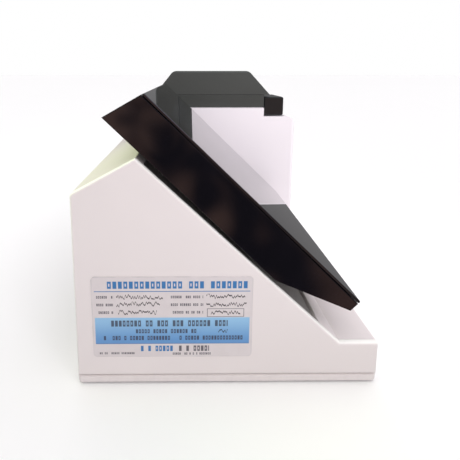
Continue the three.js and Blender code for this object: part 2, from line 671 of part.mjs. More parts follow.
function armCover() {
  const coverFront = TOWER_FRONT + COVER_FRONT_SETBACK;
  const coverBottom = stripTop + SEAM;
  const side = (bottom) => [
    [armRear, bottom],
    [armRear, coverBottom],
    [armRear - COVER_REAR_RUN, coverBottom + ARM_COVER_HEIGHT, COVER_RADIUS],
    [coverFront + COVER_FRONT_RUN, coverBottom + ARM_COVER_HEIGHT, COVER_RADIUS],
    [coverFront, coverBottom],
    [coverFront, bottom],
  ];
  const end = (bottom) => [
    [armLeft, bottom],
    [armRight, bottom],
    [armRight, coverBottom],
    [armRight - COVER_SIDE_RUN, coverBottom + ARM_COVER_HEIGHT, COVER_SIDE_RADIUS],
    [armLeft + COVER_SIDE_RUN, coverBottom + ARM_COVER_HEIGHT, COVER_SIDE_RADIUS],
    [armLeft, coverBottom],
  ];
  const lower = coverBottom - 2 * ARM_WALL;
  const full = common(sweepX(side(lower), armLeft - PAST, armRight + PAST), sweepY(end(lower),
    coverFront, armRear));
  const hollow = common(sweepX(inset(side(lower - ARM_WALL), ARM_WALL), armLeft, armRight),
    sweepY(inset(end(lower - ARM_WALL), ARM_WALL), coverFront, armRear));
  const above = box(armLeft - PAST, armRight + PAST, coverFront - PAST, armRear + PAST,
    coverBottom, coverBottom + ARM_COVER_HEIGHT + PAST);
  return common(cut(full, hollow), above);
}
add('arm_cover', armCover(), armGrey());

const upperFace = pedestalFace + PATH_LENGTH;
function armHead() {
  const block = sweepX([
    [headRear, headBottom, HEAD_RADIUS],
    [headRear, headTop],
    [headFront, headTop, HEAD_RADIUS],
    [headFront, headBottom, HEAD_RADIUS],
  ], armLeft + HEAD_SIDE_INSET, armRight - HEAD_SIDE_INSET);
  const pocket = rodZ(HEAD_POCKET_RADIUS, headBottom - PAST, headBottom + HEAD_POCKET_DEPTH,
    [armCentreX, pedestalY], ROUND_SIDES);
  const bore = rodZ(PEDESTAL_RADIUS + SEAM, headBottom, headTop - HEAD_CROWN, [armCentreX, pedestalY],
    MEDIUM_SIDES);
  const fibreWay = box(armCentreX - FIBRE_WAY, armCentreX + FIBRE_WAY, pedestalY, headRear + PAST,
    armFibreZ - FIBRE_WAY, armFibreZ + FIBRE_WAY);
  return cut(block, pocket, bore, fibreWay);
}
add('arm_head', armHead(), armDark());
add('upper_pedestal', turned([
  [0, upperFace],
  [PEDESTAL_TIP_RADIUS, upperFace],
  [PEDESTAL_RADIUS, upperFace + PEDESTAL_TAPER],
  [PEDESTAL_RADIUS, armFibreZ - UPPER_PEDESTAL_BELOW_FIBRE],
  [0, armFibreZ - UPPER_PEDESTAL_BELOW_FIBRE],
], [armCentreX, pedestalY]), steel());

function armHingeBracket() {
  const plateTop = stripBottom + BRACKET_FOOT;
  const [y, z] = armPivot;
  const x0 = armCentreX - KNUCKLE_WIDTH / 2 + SEAM;
  const x1 = armCentreX + KNUCKLE_WIDTH / 2 - SEAM;
  return cut(join(
    box(x0, x1, y - BRACKET_AHEAD, y + BRACKET_BEHIND, towerTop + SEAM, plateTop),
    box(x0, x1, y - KNUCKLE_RADIUS, y + KNUCKLE_RADIUS, towerTop + PAST, z),
    rodX(KNUCKLE_RADIUS, x0, x1, armPivot),
  ), rodX(ARM_PIN_RADIUS + SEAM, x0 - PAST, x1 + PAST, armPivot, MEDIUM_SIDES));
}
add('arm_hinge_bracket', armHingeBracket(), steel());
add('arm_hinge_pin', rodX(ARM_PIN_RADIUS, armCentreX - KNUCKLE_WIDTH / 2 - BOSS_WIDTH + PIN_SHORT,
  armCentreX + KNUCKLE_WIDTH / 2 + BOSS_WIDTH - PIN_SHORT, armPivot, MEDIUM_SIDES), steel());

// ---- Fibres ----
function tube(points, radius, steps) {
  const path = new THREE.CatmullRomCurve3(points.map((p) => new THREE.Vector3(...p)));
  const ring = Array.from({ length: FIBRE_SIDES }, (_, i) => {
    const angle = (i / FIBRE_SIDES) * 2 * Math.PI;
    return [radius * Math.cos(angle), radius * Math.sin(angle)];
  });
  const section = new THREE.Shape(ring.map(([a, b]) => new THREE.Vector2(a, b)));
  return new THREE.ExtrudeGeometry(section, { steps, extrudePath: path, bevelEnabled: false });
}
add('arm_fibre', tube([
  [armCentreX, pedestalY + FIBRE_RADIUS, armFibreZ],
  [armCentreX, headRear + ARM_FIBRE_ROUTE.straight, armFibreZ],
  [armCentreX, headRear + ARM_FIBRE_ROUTE.bend, armFibreZ + ARM_FIBRE_ROUTE.rise],
  [armCentreX, armPivot[0] - ARM_FIBRE_ROUTE.beforePivot, armFibreZ + ARM_FIBRE_ROUTE.rise],
  [armCentreX, armPivot[0] - ARM_FIBRE_ROUTE.end, armFibreZ + ARM_FIBRE_ROUTE.endRise],
], FIBRE_RADIUS, ARM_FIBRE_STEPS), jacket());

// ---- Display ----
const displayLeft = -HALF_WIDTH;
const displayRight = TOWER_LEFT - DISPLAY_TOWER_GAP;
const glassBack = DISPLAY_THICKNESS - GLASS_THICKNESS;
const displayPivot = onDisplay(0, PIVOT_OUT);
const displayCentreX = (displayLeft + displayRight) / 2;
const topEnd = (out) => DISPLAY_ABOVE - (DISPLAY_TOP_LEAN * out) / DISPLAY_THICKNESS;

function displayOutline(front) {
  return [
    onDisplay(0, 0),
    onDisplay(DISPLAY_ABOVE, 0),
    onDisplay(topEnd(front), front),
    onDisplay(-DISPLAY_BELOW, front),
    onDisplay(-DISPLAY_BELOW, DISPLAY_THICKNESS - DISPLAY_TIP),
  ];
}
// A block in the display's frame.
function displayBlock(x0, x1, along0, along1, out0, out1) {
  return sweepX([
    onDisplay(along0, out0), onDisplay(along1, out0), onDisplay(along1, out1), onDisplay(along0, out1),
  ], x0, x1);
}

const lugX = [displayCentreX - LUG_SPACING / 2, displayCentreX + LUG_SPACING / 2];
const boardPlace = {
  x: displayCentreX - DISPLAY_BOARD_WIDTH / 2,
  along: LCD_ABOVE_HINGE + DISPLAY_BOARD_ABOVE_LCD,
  out: glassBack - LCD_THICKNESS - DISPLAY_BOARD_BEHIND_LCD,
};
function boardPosts() {
  const xs = [boardPlace.x, boardPlace.x + DISPLAY_BOARD_WIDTH - DISPLAY_POST];
  const alongs = [boardPlace.along, boardPlace.along + DISPLAY_BOARD_LENGTH - DISPLAY_POST];
  return xs.flatMap((x) => alongs.map((along) =>
    displayBlock(x, x + DISPLAY_POST, along, along + DISPLAY_POST, PAST, boardPlace.out - SEAM)));
}
function displayRearCover() {
  const shell = cut(sweepX(displayOutline(glassBack - SEAM), displayLeft, displayRight),
    sweepX(inset(displayOutline(glassBack + 2 * DISPLAY_WALL), DISPLAY_WALL),
      displayLeft + DISPLAY_WALL, displayRight - DISPLAY_WALL));
  const bosses = lugX.flatMap((x) => [-1, 1].map((side) => {
    const inner = x + side * (LUG_WIDTH / 2 + SEAM);
    const [x0, x1] = [inner, inner + side * LUG_WIDTH].sort((a, b) => a - b);
    return displayBlock(x0, x1, -LUG_RADIUS, LUG_RADIUS, PAST, PIVOT_OUT + LUG_RADIUS);
  }));
  const slots = lugX.map((x) => displayBlock(x - LUG_WIDTH / 2 - SEAM, x + LUG_WIDTH / 2 + SEAM,
    -LUG_RADIUS - LUG_CLEARANCE, LUG_RADIUS + LUG_CLEARANCE, -DISPLAY_WALL, PIVOT_OUT + LUG_RADIUS));
  const pinHole = rodX(DISPLAY_PIN_RADIUS + SEAM, lugX[0] - 2 * LUG_WIDTH, lugX[1] + 2 * LUG_WIDTH,
    displayPivot, MEDIUM_SIDES);
  return cut(join(shell, ...bosses, ...boardPosts()), ...slots, pinHole);
}
add('display_rear_cover', displayRearCover(), glossBlack());
add('display_glass', displayBlock(displayLeft, displayRight, -DISPLAY_BELOW, topEnd(DISPLAY_THICKNESS),
  glassBack, DISPLAY_THICKNESS), glossBlack());
add('lcd_panel', displayBlock(displayLeft + LCD_SIDE_MARGIN, displayRight - LCD_SIDE_MARGIN,
  LCD_ABOVE_HINGE, LCD_ABOVE_HINGE + LCD_LENGTH,
  glassBack - SEAM - LCD_THICKNESS, glassBack - SEAM), screen());

function displayBoard() {
  const { x: x0, along, out } = boardPlace;
  return join(
    displayBlock(x0, x0 + DISPLAY_BOARD_WIDTH, along, along + DISPLAY_BOARD_LENGTH, out,
      out + BOARD_THICKNESS),
    ...DISPLAY_CHIPS.map(([x, up, width, length, tall]) =>
      displayBlock(x0 + x, x0 + x + width, along + up, along + up + length, out - tall, out + SUNK)));
}
add('display_board', displayBoard(), circuit());
[-1, 1].forEach((side, i) => {
  const x = lugX[i];
  add(`display_hinge_pin_${side < 0 ? 'left' : 'right'}`,
    rodX(DISPLAY_PIN_RADIUS, x - 1.5 * LUG_WIDTH + PIN_SHORT, x + 1.5 * LUG_WIDTH - PIN_SHORT,
      displayPivot, MEDIUM_SIDES), steel());
});

function displayBracket() {
  const plateOut = -DECK_RECESS + SEAM;
  const along0 = DISPLAY_FROM_LIP - BRACKET_REACH;
  const along1 = DISPLAY_FROM_LIP + BRACKET_REACH;
  const plate = sweepX([
    onDeck(along0, plateOut), onDeck(along1, plateOut),
    onDeck(along1, plateOut + BRACKET_PLATE), onDeck(along0, plateOut + BRACKET_PLATE),
  ], lugX[0] - 2 * LUG_WIDTH, lugX[1] + 2 * LUG_WIDTH);
  const lugs = lugX.flatMap((x) => {
    const [x0, x1] = [x - LUG_WIDTH / 2, x + LUG_WIDTH / 2];
    const foot = sweepX([
      onDeck(DISPLAY_FROM_LIP - LUG_RADIUS, plateOut + SUNK),
      onDeck(DISPLAY_FROM_LIP + LUG_RADIUS, plateOut + SUNK),
      onDisplay(LUG_RADIUS, PIVOT_OUT),
      onDisplay(-LUG_RADIUS, PIVOT_OUT),
    ], x0, x1);
    return [foot, rodX(LUG_RADIUS, x0, x1, displayPivot)];
  });
  const pinHole = rodX(DISPLAY_PIN_RADIUS + SEAM, lugX[0] - LUG_WIDTH, lugX[1] + LUG_WIDTH,
    displayPivot, MEDIUM_SIDES);
  return cut(join(plate, ...lugs), pinHole);
}
add('display_bracket', displayBracket(), steel());

// ---- Rear connectors ----
const plateOuter = REAR - SHELL_WALL - SEAM;
const plateInner = plateOuter - CONNECTOR_PLATE;
const socketZ = (connector.z0 + connector.z1) / 2;
const connectorPlaces = Object.fromEntries(
  Object.entries(CONNECTOR_PLACES).map(([name, place]) => [name, connector.x0 + place]));

function connectorPanel() {
  const plate = box(connector.x0 - CONNECTOR_LAP, connector.x1 + CONNECTOR_LAP, plateInner, plateOuter,
    connector.z0 - CONNECTOR_LAP, connector.z1 + CONNECTOR_LAP);
  const through = (x, width, tall) => box(x - width / 2 - SEAM, x + width / 2 + SEAM,
    plateInner - PAST, plateOuter + PAST, socketZ - tall / 2 - SEAM, socketZ + tall / 2 + SEAM);
  const round = (x, radius) => rodY(radius + SEAM, plateInner - PAST, plateOuter + PAST, [x, socketZ],
    ROUND_SIDES);
  return cut(plate,
    round(connectorPlaces.power_button, BUTTON_RADIUS),
    round(connectorPlaces.dc_inlet, INLET_RADIUS),
    through(connectorPlaces.usb_left, USB_WIDTH, USB_TALL),
    through(connectorPlaces.usb_right, USB_WIDTH, USB_TALL),
    through(connectorPlaces.network_socket, NETWORK_WIDTH, NETWORK_TALL),
    ...screwX.map((x) => rodY(PANEL_SCREW_RADIUS / 2 + SEAM, plateInner - PAST, plateOuter + PAST,
      [x, socketZ], SMALL_SIDES)));
}

function boxSocket(x, width, tall) {
  const [x0, x1] = [x - width / 2, x + width / 2];
  const [z0, z1] = [socketZ - tall / 2, socketZ + tall / 2];
  const mouth = plateOuter + SOCKET_PROUD;
  return cut(box(x0, x1, mouth - SOCKET_DEPTH, mouth, z0, z1),
    box(x0 + SOCKET_WALL, x1 - SOCKET_WALL, mouth - SOCKET_DEPTH + SOCKET_WALL, mouth + PAST,
      z0 + SOCKET_WALL, z1 - SOCKET_WALL));
}

function dcInlet() {
  const mouth = plateOuter + SOCKET_PROUD;
  const centre = [connectorPlaces.dc_inlet, socketZ];
  const barrel = cut(rodY(INLET_RADIUS, mouth - SOCKET_DEPTH, mouth, centre, ROUND_SIDES),
    rodY(INLET_BORE, mouth - SOCKET_DEPTH + INLET_BACK, mouth + PAST, centre, PLAIN_SIDES));
  return join(barrel,
    rodY(INLET_PIN_RADIUS, mouth - SOCKET_DEPTH + PAST, mouth - INLET_PIN_SHORT, centre, SMALL_SIDES));
}

const screwX = [connector.x0 + SCREW_FROM_END, connector.x1 - SCREW_FROM_END];
function panelScrew(x) {
  return join(
    rodY(PANEL_SCREW_RADIUS, plateOuter + SEAM / 2, plateOuter + SCREW_PROUD, [x, socketZ], MEDIUM_SIDES),
    rodY(PANEL_SCREW_RADIUS / 2, plateInner - SHANK_LENGTH, plateOuter + PAST, [x, socketZ], SMALL_SIDES));
}

add('connector_panel', connectorPanel(), greyDeck());
add('dc_inlet', dcInlet(), armDark());
add('usb_socket_left', boxSocket(connectorPlaces.usb_left, USB_WIDTH, USB_TALL), steel());
add('usb_socket_right', boxSocket(connectorPlaces.usb_right, USB_WIDTH, USB_TALL), steel());
add('network_socket', boxSocket(connectorPlaces.network_socket, NETWORK_WIDTH, NETWORK_TALL), steel());
add('power_button', rodY(BUTTON_RADIUS, plateInner - SHANK_LENGTH, plateOuter + BUTTON_PROUD,
  [connectorPlaces.power_button, socketZ], ROUND_SIDES), armDark());
screwX.forEach((x, i) => add(`panel_screw_${i === 0 ? 'left' : 'right'}`, panelScrew(x), steel()));

// The switch body stands behind the button, clear of its travel.
const switchFront = plateInner - SHANK_LENGTH - BUTTON_TRAVEL - SEAM;
const ioBoardY = plateOuter + SOCKET_PROUD - SOCKET_DEPTH - SEAM;
function ioBoard() {
  const board = box(connector.x0 + IO_BOARD_FROM_LEFT, connector.x1 - IO_BOARD_FROM_RIGHT,
    ioBoardY - BOARD_THICKNESS, ioBoardY, BASE_TOP + IO_BOARD_ABOVE_BASE,
      connector.z1 + IO_BOARD_ABOVE_PANEL);
  const x = connectorPlaces.power_button;
  return join(board, box(x - SWITCH_HALF, x + SWITCH_HALF, ioBoardY - SUNK, switchFront,
    socketZ - SWITCH_HALF, socketZ + SWITCH_HALF));
}
add('connector_board', ioBoard(), circuit());

// ---- Inside ----
function mainBoard() {
  const [x0, x1, y0, y1] = inside.board;
  const top = INNER_FLOOR + BOARD_THICKNESS;
  return join(box(x0, x1, y0, y1, INNER_FLOOR, top), ...MAIN_CHIPS.map(([x, y, width, depth, tall]) =>
    box(x0 + x, x0 + x + width, y0 + y, y0 + y + depth, top - SUNK, top + tall)));
}
add('main_board', mainBoard(), circuit());

const benchTop = INNER_FLOOR + BENCH_HEIGHT;
const benchPlan = (([x0, x1, y0, y1]) => [
  [x0, y0], [x1 - BENCH_CHAMFER, y0], [x1, y0 + BENCH_CHAMFER], [x1, y1], [x0, y1],
])(inside.bench);
function opticalBench() {
  const x1 = inside.bench[1];
  const body = sweepZ(benchPlan, INNER_FLOOR, benchTop);
  const well = sweepZ(inset(benchPlan, BENCH_WALL), INNER_FLOOR + BENCH_WALL, benchTop + PAST);
  const slit = rodX(FIBRE_RADIUS + SEAM, x1 - 2 * BENCH_WALL, x1 + PAST, [fibreHole.y, fibreHole.z],
    SMALL_SIDES);
  return cut(body, well, slit);
}
add('optical_bench', opticalBench(), benchMetal());
add('optical_bench_cover', sweepZ(benchPlan, benchTop + SEAM, benchTop + SEAM + BENCH_COVER), benchBlack());

function lampModule() {
  const [x0, x1, y0, y1] = inside.lamp;
  const body = box(x0, x1, y0, y1, INNER_FLOOR, INNER_FLOOR + LAMP_HEIGHT);
  return join(body, rodZ(LAMP_CAP_RADIUS, INNER_FLOOR + LAMP_HEIGHT - PAST,
    INNER_FLOOR + LAMP_HEIGHT + LAMP_CAP_HEIGHT,
    [(x0 + x1) / 2, (y0 + y1) / 2], PLAIN_SIDES));
}
add('flash_lamp_module', lampModule(), lampMetal());

function powerBoard() {
  const [x0, x1, y0, y1] = inside.power;
  const top = INNER_FLOOR + BOARD_THICKNESS;
  const { x, y, width, depth, tall } = TRANSFORMER;
  return join(box(x0, x1, y0, y1, INNER_FLOOR, top),
    box(x0 + x, x0 + x + width, y0 + y, y0 + y + depth, top - SUNK, top + tall),
    rodZ(CAPACITOR.radius, top - SUNK, top + CAPACITOR.tall,
      [x1 - CAPACITOR.fromRight, y0 + CAPACITOR.y], MEDIUM_SIDES));
}
add('power_board', powerBoard(), circuit());

// The fibre runs from the bench's slit, behind the lamp, through the tower's wall and up to the solenoid.
add('spectrometer_fibre', tube([
  [inside.bench[1] + SEAM, fibreHole.y, fibreHole.z],
  [inside.bench[1] + FIBRE_ROUTE.straight, fibreHole.y, fibreHole.z],
  [inside.lamp[0] + FIBRE_ROUTE.lampMargin, inside.lamp[3] + FIBRE_ROUTE.behindLamp, fibreHole.z],
  [inside.lamp[1] - FIBRE_ROUTE.lampMargin, inside.lamp[3] + FIBRE_ROUTE.behindLamp, fibreHole.z],
  [TOWER_LEFT - FIBRE_ROUTE.beforeWall, fibreHole.y, fibreHole.z],
  [TOWER_LEFT + FIBRE_ROUTE.straight, fibreHole.y, fibreHole.z],
  [armCentreX - FIBRE_ROUTE.aside, (fibreHole.y + pedestalY) / 2, fibreHole.z + FIBRE_ROUTE.rise],
  [armCentreX, pedestalY, solenoidTop - SOLENOID_LENGTH - FIBRE_ROUTE.approach],
  [armCentreX, pedestalY, solenoidTop - SOLENOID_LENGTH - FIBRE_ROUTE.end],
], FIBRE_RADIUS, FIBRE_STEPS), jacket());

export default spectrophotometer;
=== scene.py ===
"""The finish of a microvolume spectrophotometer.

Rounded mouldings, glass, steel and printing, laid on its packed frame, with a plain stage round it.
"""

import math

import bmesh
import bpy
from mathutils import Matrix, Vector


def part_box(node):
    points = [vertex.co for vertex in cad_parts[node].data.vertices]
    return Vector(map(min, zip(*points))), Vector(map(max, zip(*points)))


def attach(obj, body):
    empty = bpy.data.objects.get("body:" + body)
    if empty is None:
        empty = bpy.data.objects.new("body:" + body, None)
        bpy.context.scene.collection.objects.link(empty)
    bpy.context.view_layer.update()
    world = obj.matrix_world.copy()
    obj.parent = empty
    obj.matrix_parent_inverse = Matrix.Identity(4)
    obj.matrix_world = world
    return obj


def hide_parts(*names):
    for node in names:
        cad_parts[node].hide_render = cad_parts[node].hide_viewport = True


bl_info = {
    "name": "Spectrophotometer finish",
    "version": (1, 0, 0),
    "blender": (4, 5, 0),
    "location": "View3D > Sidebar > Spectrophotometer",
    "description": "Builds the finished pieces of a bench spectrophotometer on its frame",
    "category": "Object",
}

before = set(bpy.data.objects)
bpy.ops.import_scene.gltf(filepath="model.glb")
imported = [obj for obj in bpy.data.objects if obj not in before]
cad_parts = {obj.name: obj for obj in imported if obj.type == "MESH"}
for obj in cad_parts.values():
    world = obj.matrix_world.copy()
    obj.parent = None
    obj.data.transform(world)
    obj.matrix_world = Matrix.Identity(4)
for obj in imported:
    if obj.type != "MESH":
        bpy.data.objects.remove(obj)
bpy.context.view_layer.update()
MM = 0.001
ON_PLANE = 0.01 * MM  # how near a plane an edge lies to count as on it


# ---- Settings ----


def colour_property(name, description, default):
    return bpy.props.FloatVectorProperty(
        name=name, description=description, default=default, subtype="COLOR", min=0.0, max=1.0
    )


def length_property(name, description, default):
    return bpy.props.FloatProperty(
        name=name, description=description, default=default, subtype="DISTANCE", unit="LENGTH", min=0.0
    )


class ShellSettings(bpy.types.PropertyGroup):
    """Sizes and colours of the white casing."""

    colour: colour_property("Casing colour", "Warm white of the mouldings", (0.80, 0.735, 0.735))
    # painted light: the tower's white is the casing white made lighter and cooler, standing in for the
    # stronger light that falls on the tower
    tower_lit_colour: colour_property("Tower colour", "Cooler white of the tower's moulding", (0.84, 0.8, 0.83))
    # painted shade: the deck's grey stands in for the display's shadow on the white slope under it
    deck_shade_colour: colour_property("Deck colour", "Grey of the deck under the display", (0.40, 0.375, 0.365))
    rim_radius: length_property("Panel rim", "Rounding of the side panel's outer edge", 2.3 * MM)
    fold_radius: length_property("Fold", "Rounding where the housing folds", 0.8 * MM)
    tower_radius: length_property("Tower edge", "Rounding of the tower's side edges", 4.0 * MM)
    base_radius: length_property("Base edge", "Rounding of the base tray's edges", 0.7 * MM)


class DisplaySettings(bpy.types.PropertyGroup):
    """Sizes and colours of the tilting display."""

    colour: colour_property("Case colour", "Polished black of the display's case", (0.0045, 0.004, 0.0055))
    edge: length_property("Case edge", "Rounding round the display's case", 0.6 * MM)
    glass_edge: length_property("Glass edge", "Polished edge of the cover glass", 0.75 * MM)


class ArmSettings(bpy.types.PropertyGroup):
    """Sizes and colours of the sampling arm."""

    colour: colour_property("Arm colour", "Satin grey of the arm", (0.052, 0.058, 0.054))
    head_colour: colour_property("Head colour", "Near-black of the arm's head", (0.011, 0.0125, 0.013))
    edge: length_property("Cover edge", "Rounding of the cover's hips", 2.6 * MM)
    groove: length_property("Groove", "Chamfer of the cover's rim above the strip", 0.9 * MM)
    strip_edge: length_property("Strip edge", "Rounding of the lower strip", 0.9 * MM)
    head_edge: length_property("Head edge", "Rounding of the arm's head", 2.2 * MM)


class StageSettings(bpy.types.PropertyGroup):
    """The floor, the lights and the camera."""

    floor_colour: colour_property("Floor colour", "Pale plain floor", (0.95, 0.95, 0.95))
    lens: bpy.props.FloatProperty(name="Lens", description="Focal length in millimetres", default=23.4, min=1)
    pitch: bpy.props.FloatProperty(
        name="Pitch", description="How far the camera looks down", default=math.radians(7), subtype="ANGLE"
    )


GROUPS = {
    "spectro_shell": ShellSettings,
    "spectro_display": DisplaySettings,
    "spectro_arm": ArmSettings,
    "spectro_stage": StageSettings,
}


# ---- Shader building ----


class Signal:
    """A number that changes over a surface. Arithmetic on it adds Math nodes."""

    def __init__(self, tree, socket):
        self.tree, self.socket = tree, socket

    def _math(self, operation, *values):
        return self.tree.node("ShaderNodeMath", {"operation": operation}, dict(enumerate(values)))

    def __add__(self, other):
        return self._math("ADD", self, other)

    __radd__ = __add__

    def __sub__(self, other):
        return self._math("SUBTRACT", self, other)

    def __rsub__(self, other):
        return self._math("SUBTRACT", other, self)

    def __mul__(self, other):
        return self._math("MULTIPLY", self, other)

    def __truediv__(self, other):
        return self._math("DIVIDE", self, other)

    def __gt__(self, other):
        return self._math("GREATER_THAN", self, other)

    def __lt__(self, other):
        return self._math("LESS_THAN", self, other)

    def floor(self):
        return self._math("FLOOR", self)

    def __abs__(self):
        return self._math("ABSOLUTE", self)

    def root(self):
        """Its square root."""
        return self._math("SQRT", self)

    def most(self, other):
        """The larger of the two."""
        return self._math("MAXIMUM", self, other)

    def smooth(self, low, high):
        """0 below low and 1 above high, eased between them."""
        return self.tree.node(
            "ShaderNodeMapRange", {"interpolation_type": "SMOOTHSTEP"},
            {"Value": self, "From Min": low, "From Max": high},
        )

    def within(self, low, high, soft):
        """1 between low and high, fading out over a soft width at each end."""
        return self.smooth(low - soft, low + soft) * (1 - self.smooth(high - soft, high + soft))


class Tree:
    """A node tree, and the one way in which nodes are added to it."""

    def __init__(self, tree):
        self.tree = tree

    def node(self, kind, settings=None, inputs=None, output=0):
        """A node of that kind, its settings made before its sockets are fed. Returns one output."""
        made = self.tree.nodes.new(kind)
        for key, value in (settings or {}).items():
            setattr(made, key, value)
        for key, value in (inputs or {}).items():
            self.feed(made.inputs[key], value)
        return Signal(self, made.outputs[output])

    def feed(self, socket, value):
        if isinstance(value, Signal):
            self.tree.links.new(value.socket, socket)
        elif socket.type == "RGBA" and len(value) == 3:
            socket.default_value = (*value, 1.0)
        else:
            socket.default_value = value

    def mix(self, factor, first, second):
        settings = {"data_type": "RGBA", "clamp_factor": True}
        return self.node("ShaderNodeMix", settings, {0: factor, 6: first, 7: second}, output=2)


class Paint(Tree):
    """One material, built up round its Principled shader."""

    def __init__(self, name, **constants):
        self.material = bpy.data.materials.new(name)
        self.material.use_nodes = True
        super().__init__(self.material.node_tree)
        self.shader = self.tree.nodes["Principled BSDF"]
        self.set(**constants)

    def set(self, **values):
        for socket, value in values.items():
            self.feed(self.shader.inputs[socket.replace("_", " ")], value)
        return self

    def place(self):
        """Object coordinates."""
        return self.node("ShaderNodeTexCoord", output="Object")

    def scaled(self, factors, turn=(0, 0, 0)):
        """Object coordinates stretched by a factor along each axis."""
        inputs = {"Vector": self.place(), "Scale": factors, "Rotation": turn}
        return self.node("ShaderNodeMapping", None, inputs)

    def axis(self, index):
        """The Object coordinate along X, Y or Z, in metres."""
        return self.node("ShaderNodeSeparateXYZ", None, {0: self.place()}, output=index)

    def noise(self, scale, detail=2.0, where=None):
        """Cloudy noise from 0 to 1, over the object or over the coordinates given."""
        inputs = {"Scale": scale, "Detail": detail, "Vector": where or self.place()}
        return self.node("ShaderNodeTexNoise", None, inputs)

    def bump(self, height, strength, distance):
        return self.node(
            "ShaderNodeBump", None, {"Height": height, "Strength": strength, "Distance": distance}
        )


def shade(colour, factor):
    """The colour made darker or lighter, no channel above 1."""
    return tuple(min(channel * factor, 1.0) for channel in colour)


GRAIN_SCALE = 1500  # noise scales, in cells per metre
DUST_SCALE = 240
RIM_HIGHLIGHT_SCALE = 40
SMUDGE_SCALE = 34
MOTTLE_SCALE = 11
GRAIN_DEPTH = 0.12 * MM
HAIRLINE_DEPTH = 0.03 * MM
DUST_BAND = (2 * MM, 12 * MM)  # above the bench
# painted highlight: this band and the near-white below are painted on the side panel's rim in place of light
# catching it
RIM_HIGHLIGHT_BAND = (0.1 * MM, 0.8 * MM)  # inward from the panel's outer face
RIM_HIGHLIGHT_WHITE = (0.97, 0.96, 0.93)


def moulded(name, colour, roughness, grain=0.16, mottle=0.03, dust=0.0, rim=None, **constants):
    """Injection-moulded plastic: spark-eroded grain, faint mottling, handling marks and dust near the bench.

    Where rim gives a place along X, the rounding just past it is rubbed paler.
    """
    paint = Paint(name, **constants)
    patches = paint.noise(MOTTLE_SCALE, 3.0)
    base = paint.mix(patches.smooth(0.35, 0.65), shade(colour, 1 - mottle), shade(colour, 1 + mottle))
    if dust:
        low = 1 - paint.axis(2).smooth(*DUST_BAND)
        specks = paint.noise(DUST_SCALE, 4.0).smooth(0.4, 0.7)
        base = paint.mix(low * dust * specks, base, shade(colour, 0.72))
    if rim is not None:
        # painted highlight: the rounding just past the rim is mixed towards near-white, standing in for light
        # on the rim
        inward = paint.axis(0).smooth(rim + RIM_HIGHLIGHT_BAND[0], rim + RIM_HIGHLIGHT_BAND[1])
        base = paint.mix(inward * (paint.noise(RIM_HIGHLIGHT_SCALE, 3.0) * 0.3 + 0.75), base, RIM_HIGHLIGHT_WHITE)
    scratches = paint.noise(1.0, 2.0, paint.scaled((260, 30, 900))).smooth(0.66, 0.72)
    rub = paint.noise(SMUDGE_SCALE, 4.0)
    grit = paint.noise(GRAIN_SCALE, 1.5)
    return paint.set(
        Base_Color=base,
        Roughness=rub * 0.12 + (roughness - 0.06) - scratches * 0.05,
        Normal=paint.bump(grit, grain, GRAIN_DEPTH),
    ).material


def polished(name, colour, roughness, smear=0.05, **constants):
    """Polished black plastic or glass with faint wiping marks and hairline scratches."""
    paint = Paint(name, **constants)
    wiped = paint.noise(26, 5.0, paint.scaled((1, 1.6, 0.7), (0.6, 0.2, 0.4)))
    hairline = paint.noise(1.0, 1.0, paint.scaled((1500, 45, 90), (0.3, 0.5, 0.2))).smooth(0.7, 0.74)
    tint = paint.mix(wiped.smooth(0.45, 0.8), colour, shade(colour, 1.5))
    return paint.set(
        Base_Color=tint,
        Roughness=wiped.smooth(0.5, 0.75) * smear + roughness + hairline * 0.03,
        Normal=paint.bump(paint.noise(260, 2.0) * 0.4 - hairline, 0.05, HAIRLINE_DEPTH),
    ).material


def brushed(name, colour, roughness, direction=(30, 1800, 1800)):
    """Ground metal with a fine one-way grain."""
    paint = Paint(name, Metallic=1.0)
    lines = paint.noise(1.0, 3.0, paint.scaled(direction))
    cloud = paint.noise(45, 3.0)
    return paint.set(
        Base_Color=paint.mix(lines, shade(colour, 0.86), shade(colour, 1.1)),
        Roughness=lines * 0.16 + (roughness - 0.1) + cloud * 0.06,
        Normal=paint.bump(lines, 0.12, 0.04 * MM),
    ).material


def rubber():
    """Matt black rubber with a crumbly surface."""
    paint = Paint("foot_rubber", Specular_IOR_Level=0.3)
    crumb = paint.noise(900, 3.0)
    return paint.set(
        Base_Color=paint.mix(paint.noise(70, 3.0), (0.012, 0.012, 0.013), (0.028, 0.027, 0.026)),
        Roughness=crumb * 0.2 + 0.68,
        Normal=paint.bump(crumb, 0.35, 0.2 * MM),
    ).material


def circuit_board():
    """Solder mask over copper: tracks as thin bright cells, with small pads."""
    paint = Paint("circuit_board")
    cells = paint.node(
        "ShaderNodeTexVoronoi", {"feature": "DISTANCE_TO_EDGE"}, {"Vector": paint.place(), "Scale": 260}
    )
    track = 1 - cells.smooth(0.02, 0.07)
    pads = paint.node("ShaderNodeTexVoronoi", None, {"Vector": paint.place(), "Scale": 420})
    pad = 1 - pads.smooth(0.1, 0.16)
    green = paint.mix(track, (0.008, 0.075, 0.03), (0.02, 0.16, 0.06))
    return paint.set(
        Base_Color=paint.mix(pad, green, (0.62, 0.6, 0.55)),
        Metallic=pad,
        Roughness=0.42 - track * 0.1 + paint.noise(300) * 0.1,
        Normal=paint.bump(track, 0.2, 0.1 * MM),
    ).material


def wound_copper():
    """Enamelled wire wound in level turns."""
    paint = Paint("wound_copper", Metallic=1.0)
    wave = {"Vector": paint.place(), "Scale": 300, "Distortion": 0.4}
    turns = paint.node("ShaderNodeTexWave", {"bands_direction": "Z"}, wave)
    return paint.set(
        Base_Color=paint.mix(turns, (0.32, 0.12, 0.05), (0.72, 0.34, 0.16)),
        Roughness=0.35 + turns * 0.15,
        Normal=paint.bump(turns, 0.6, 0.3 * MM),
    ).material


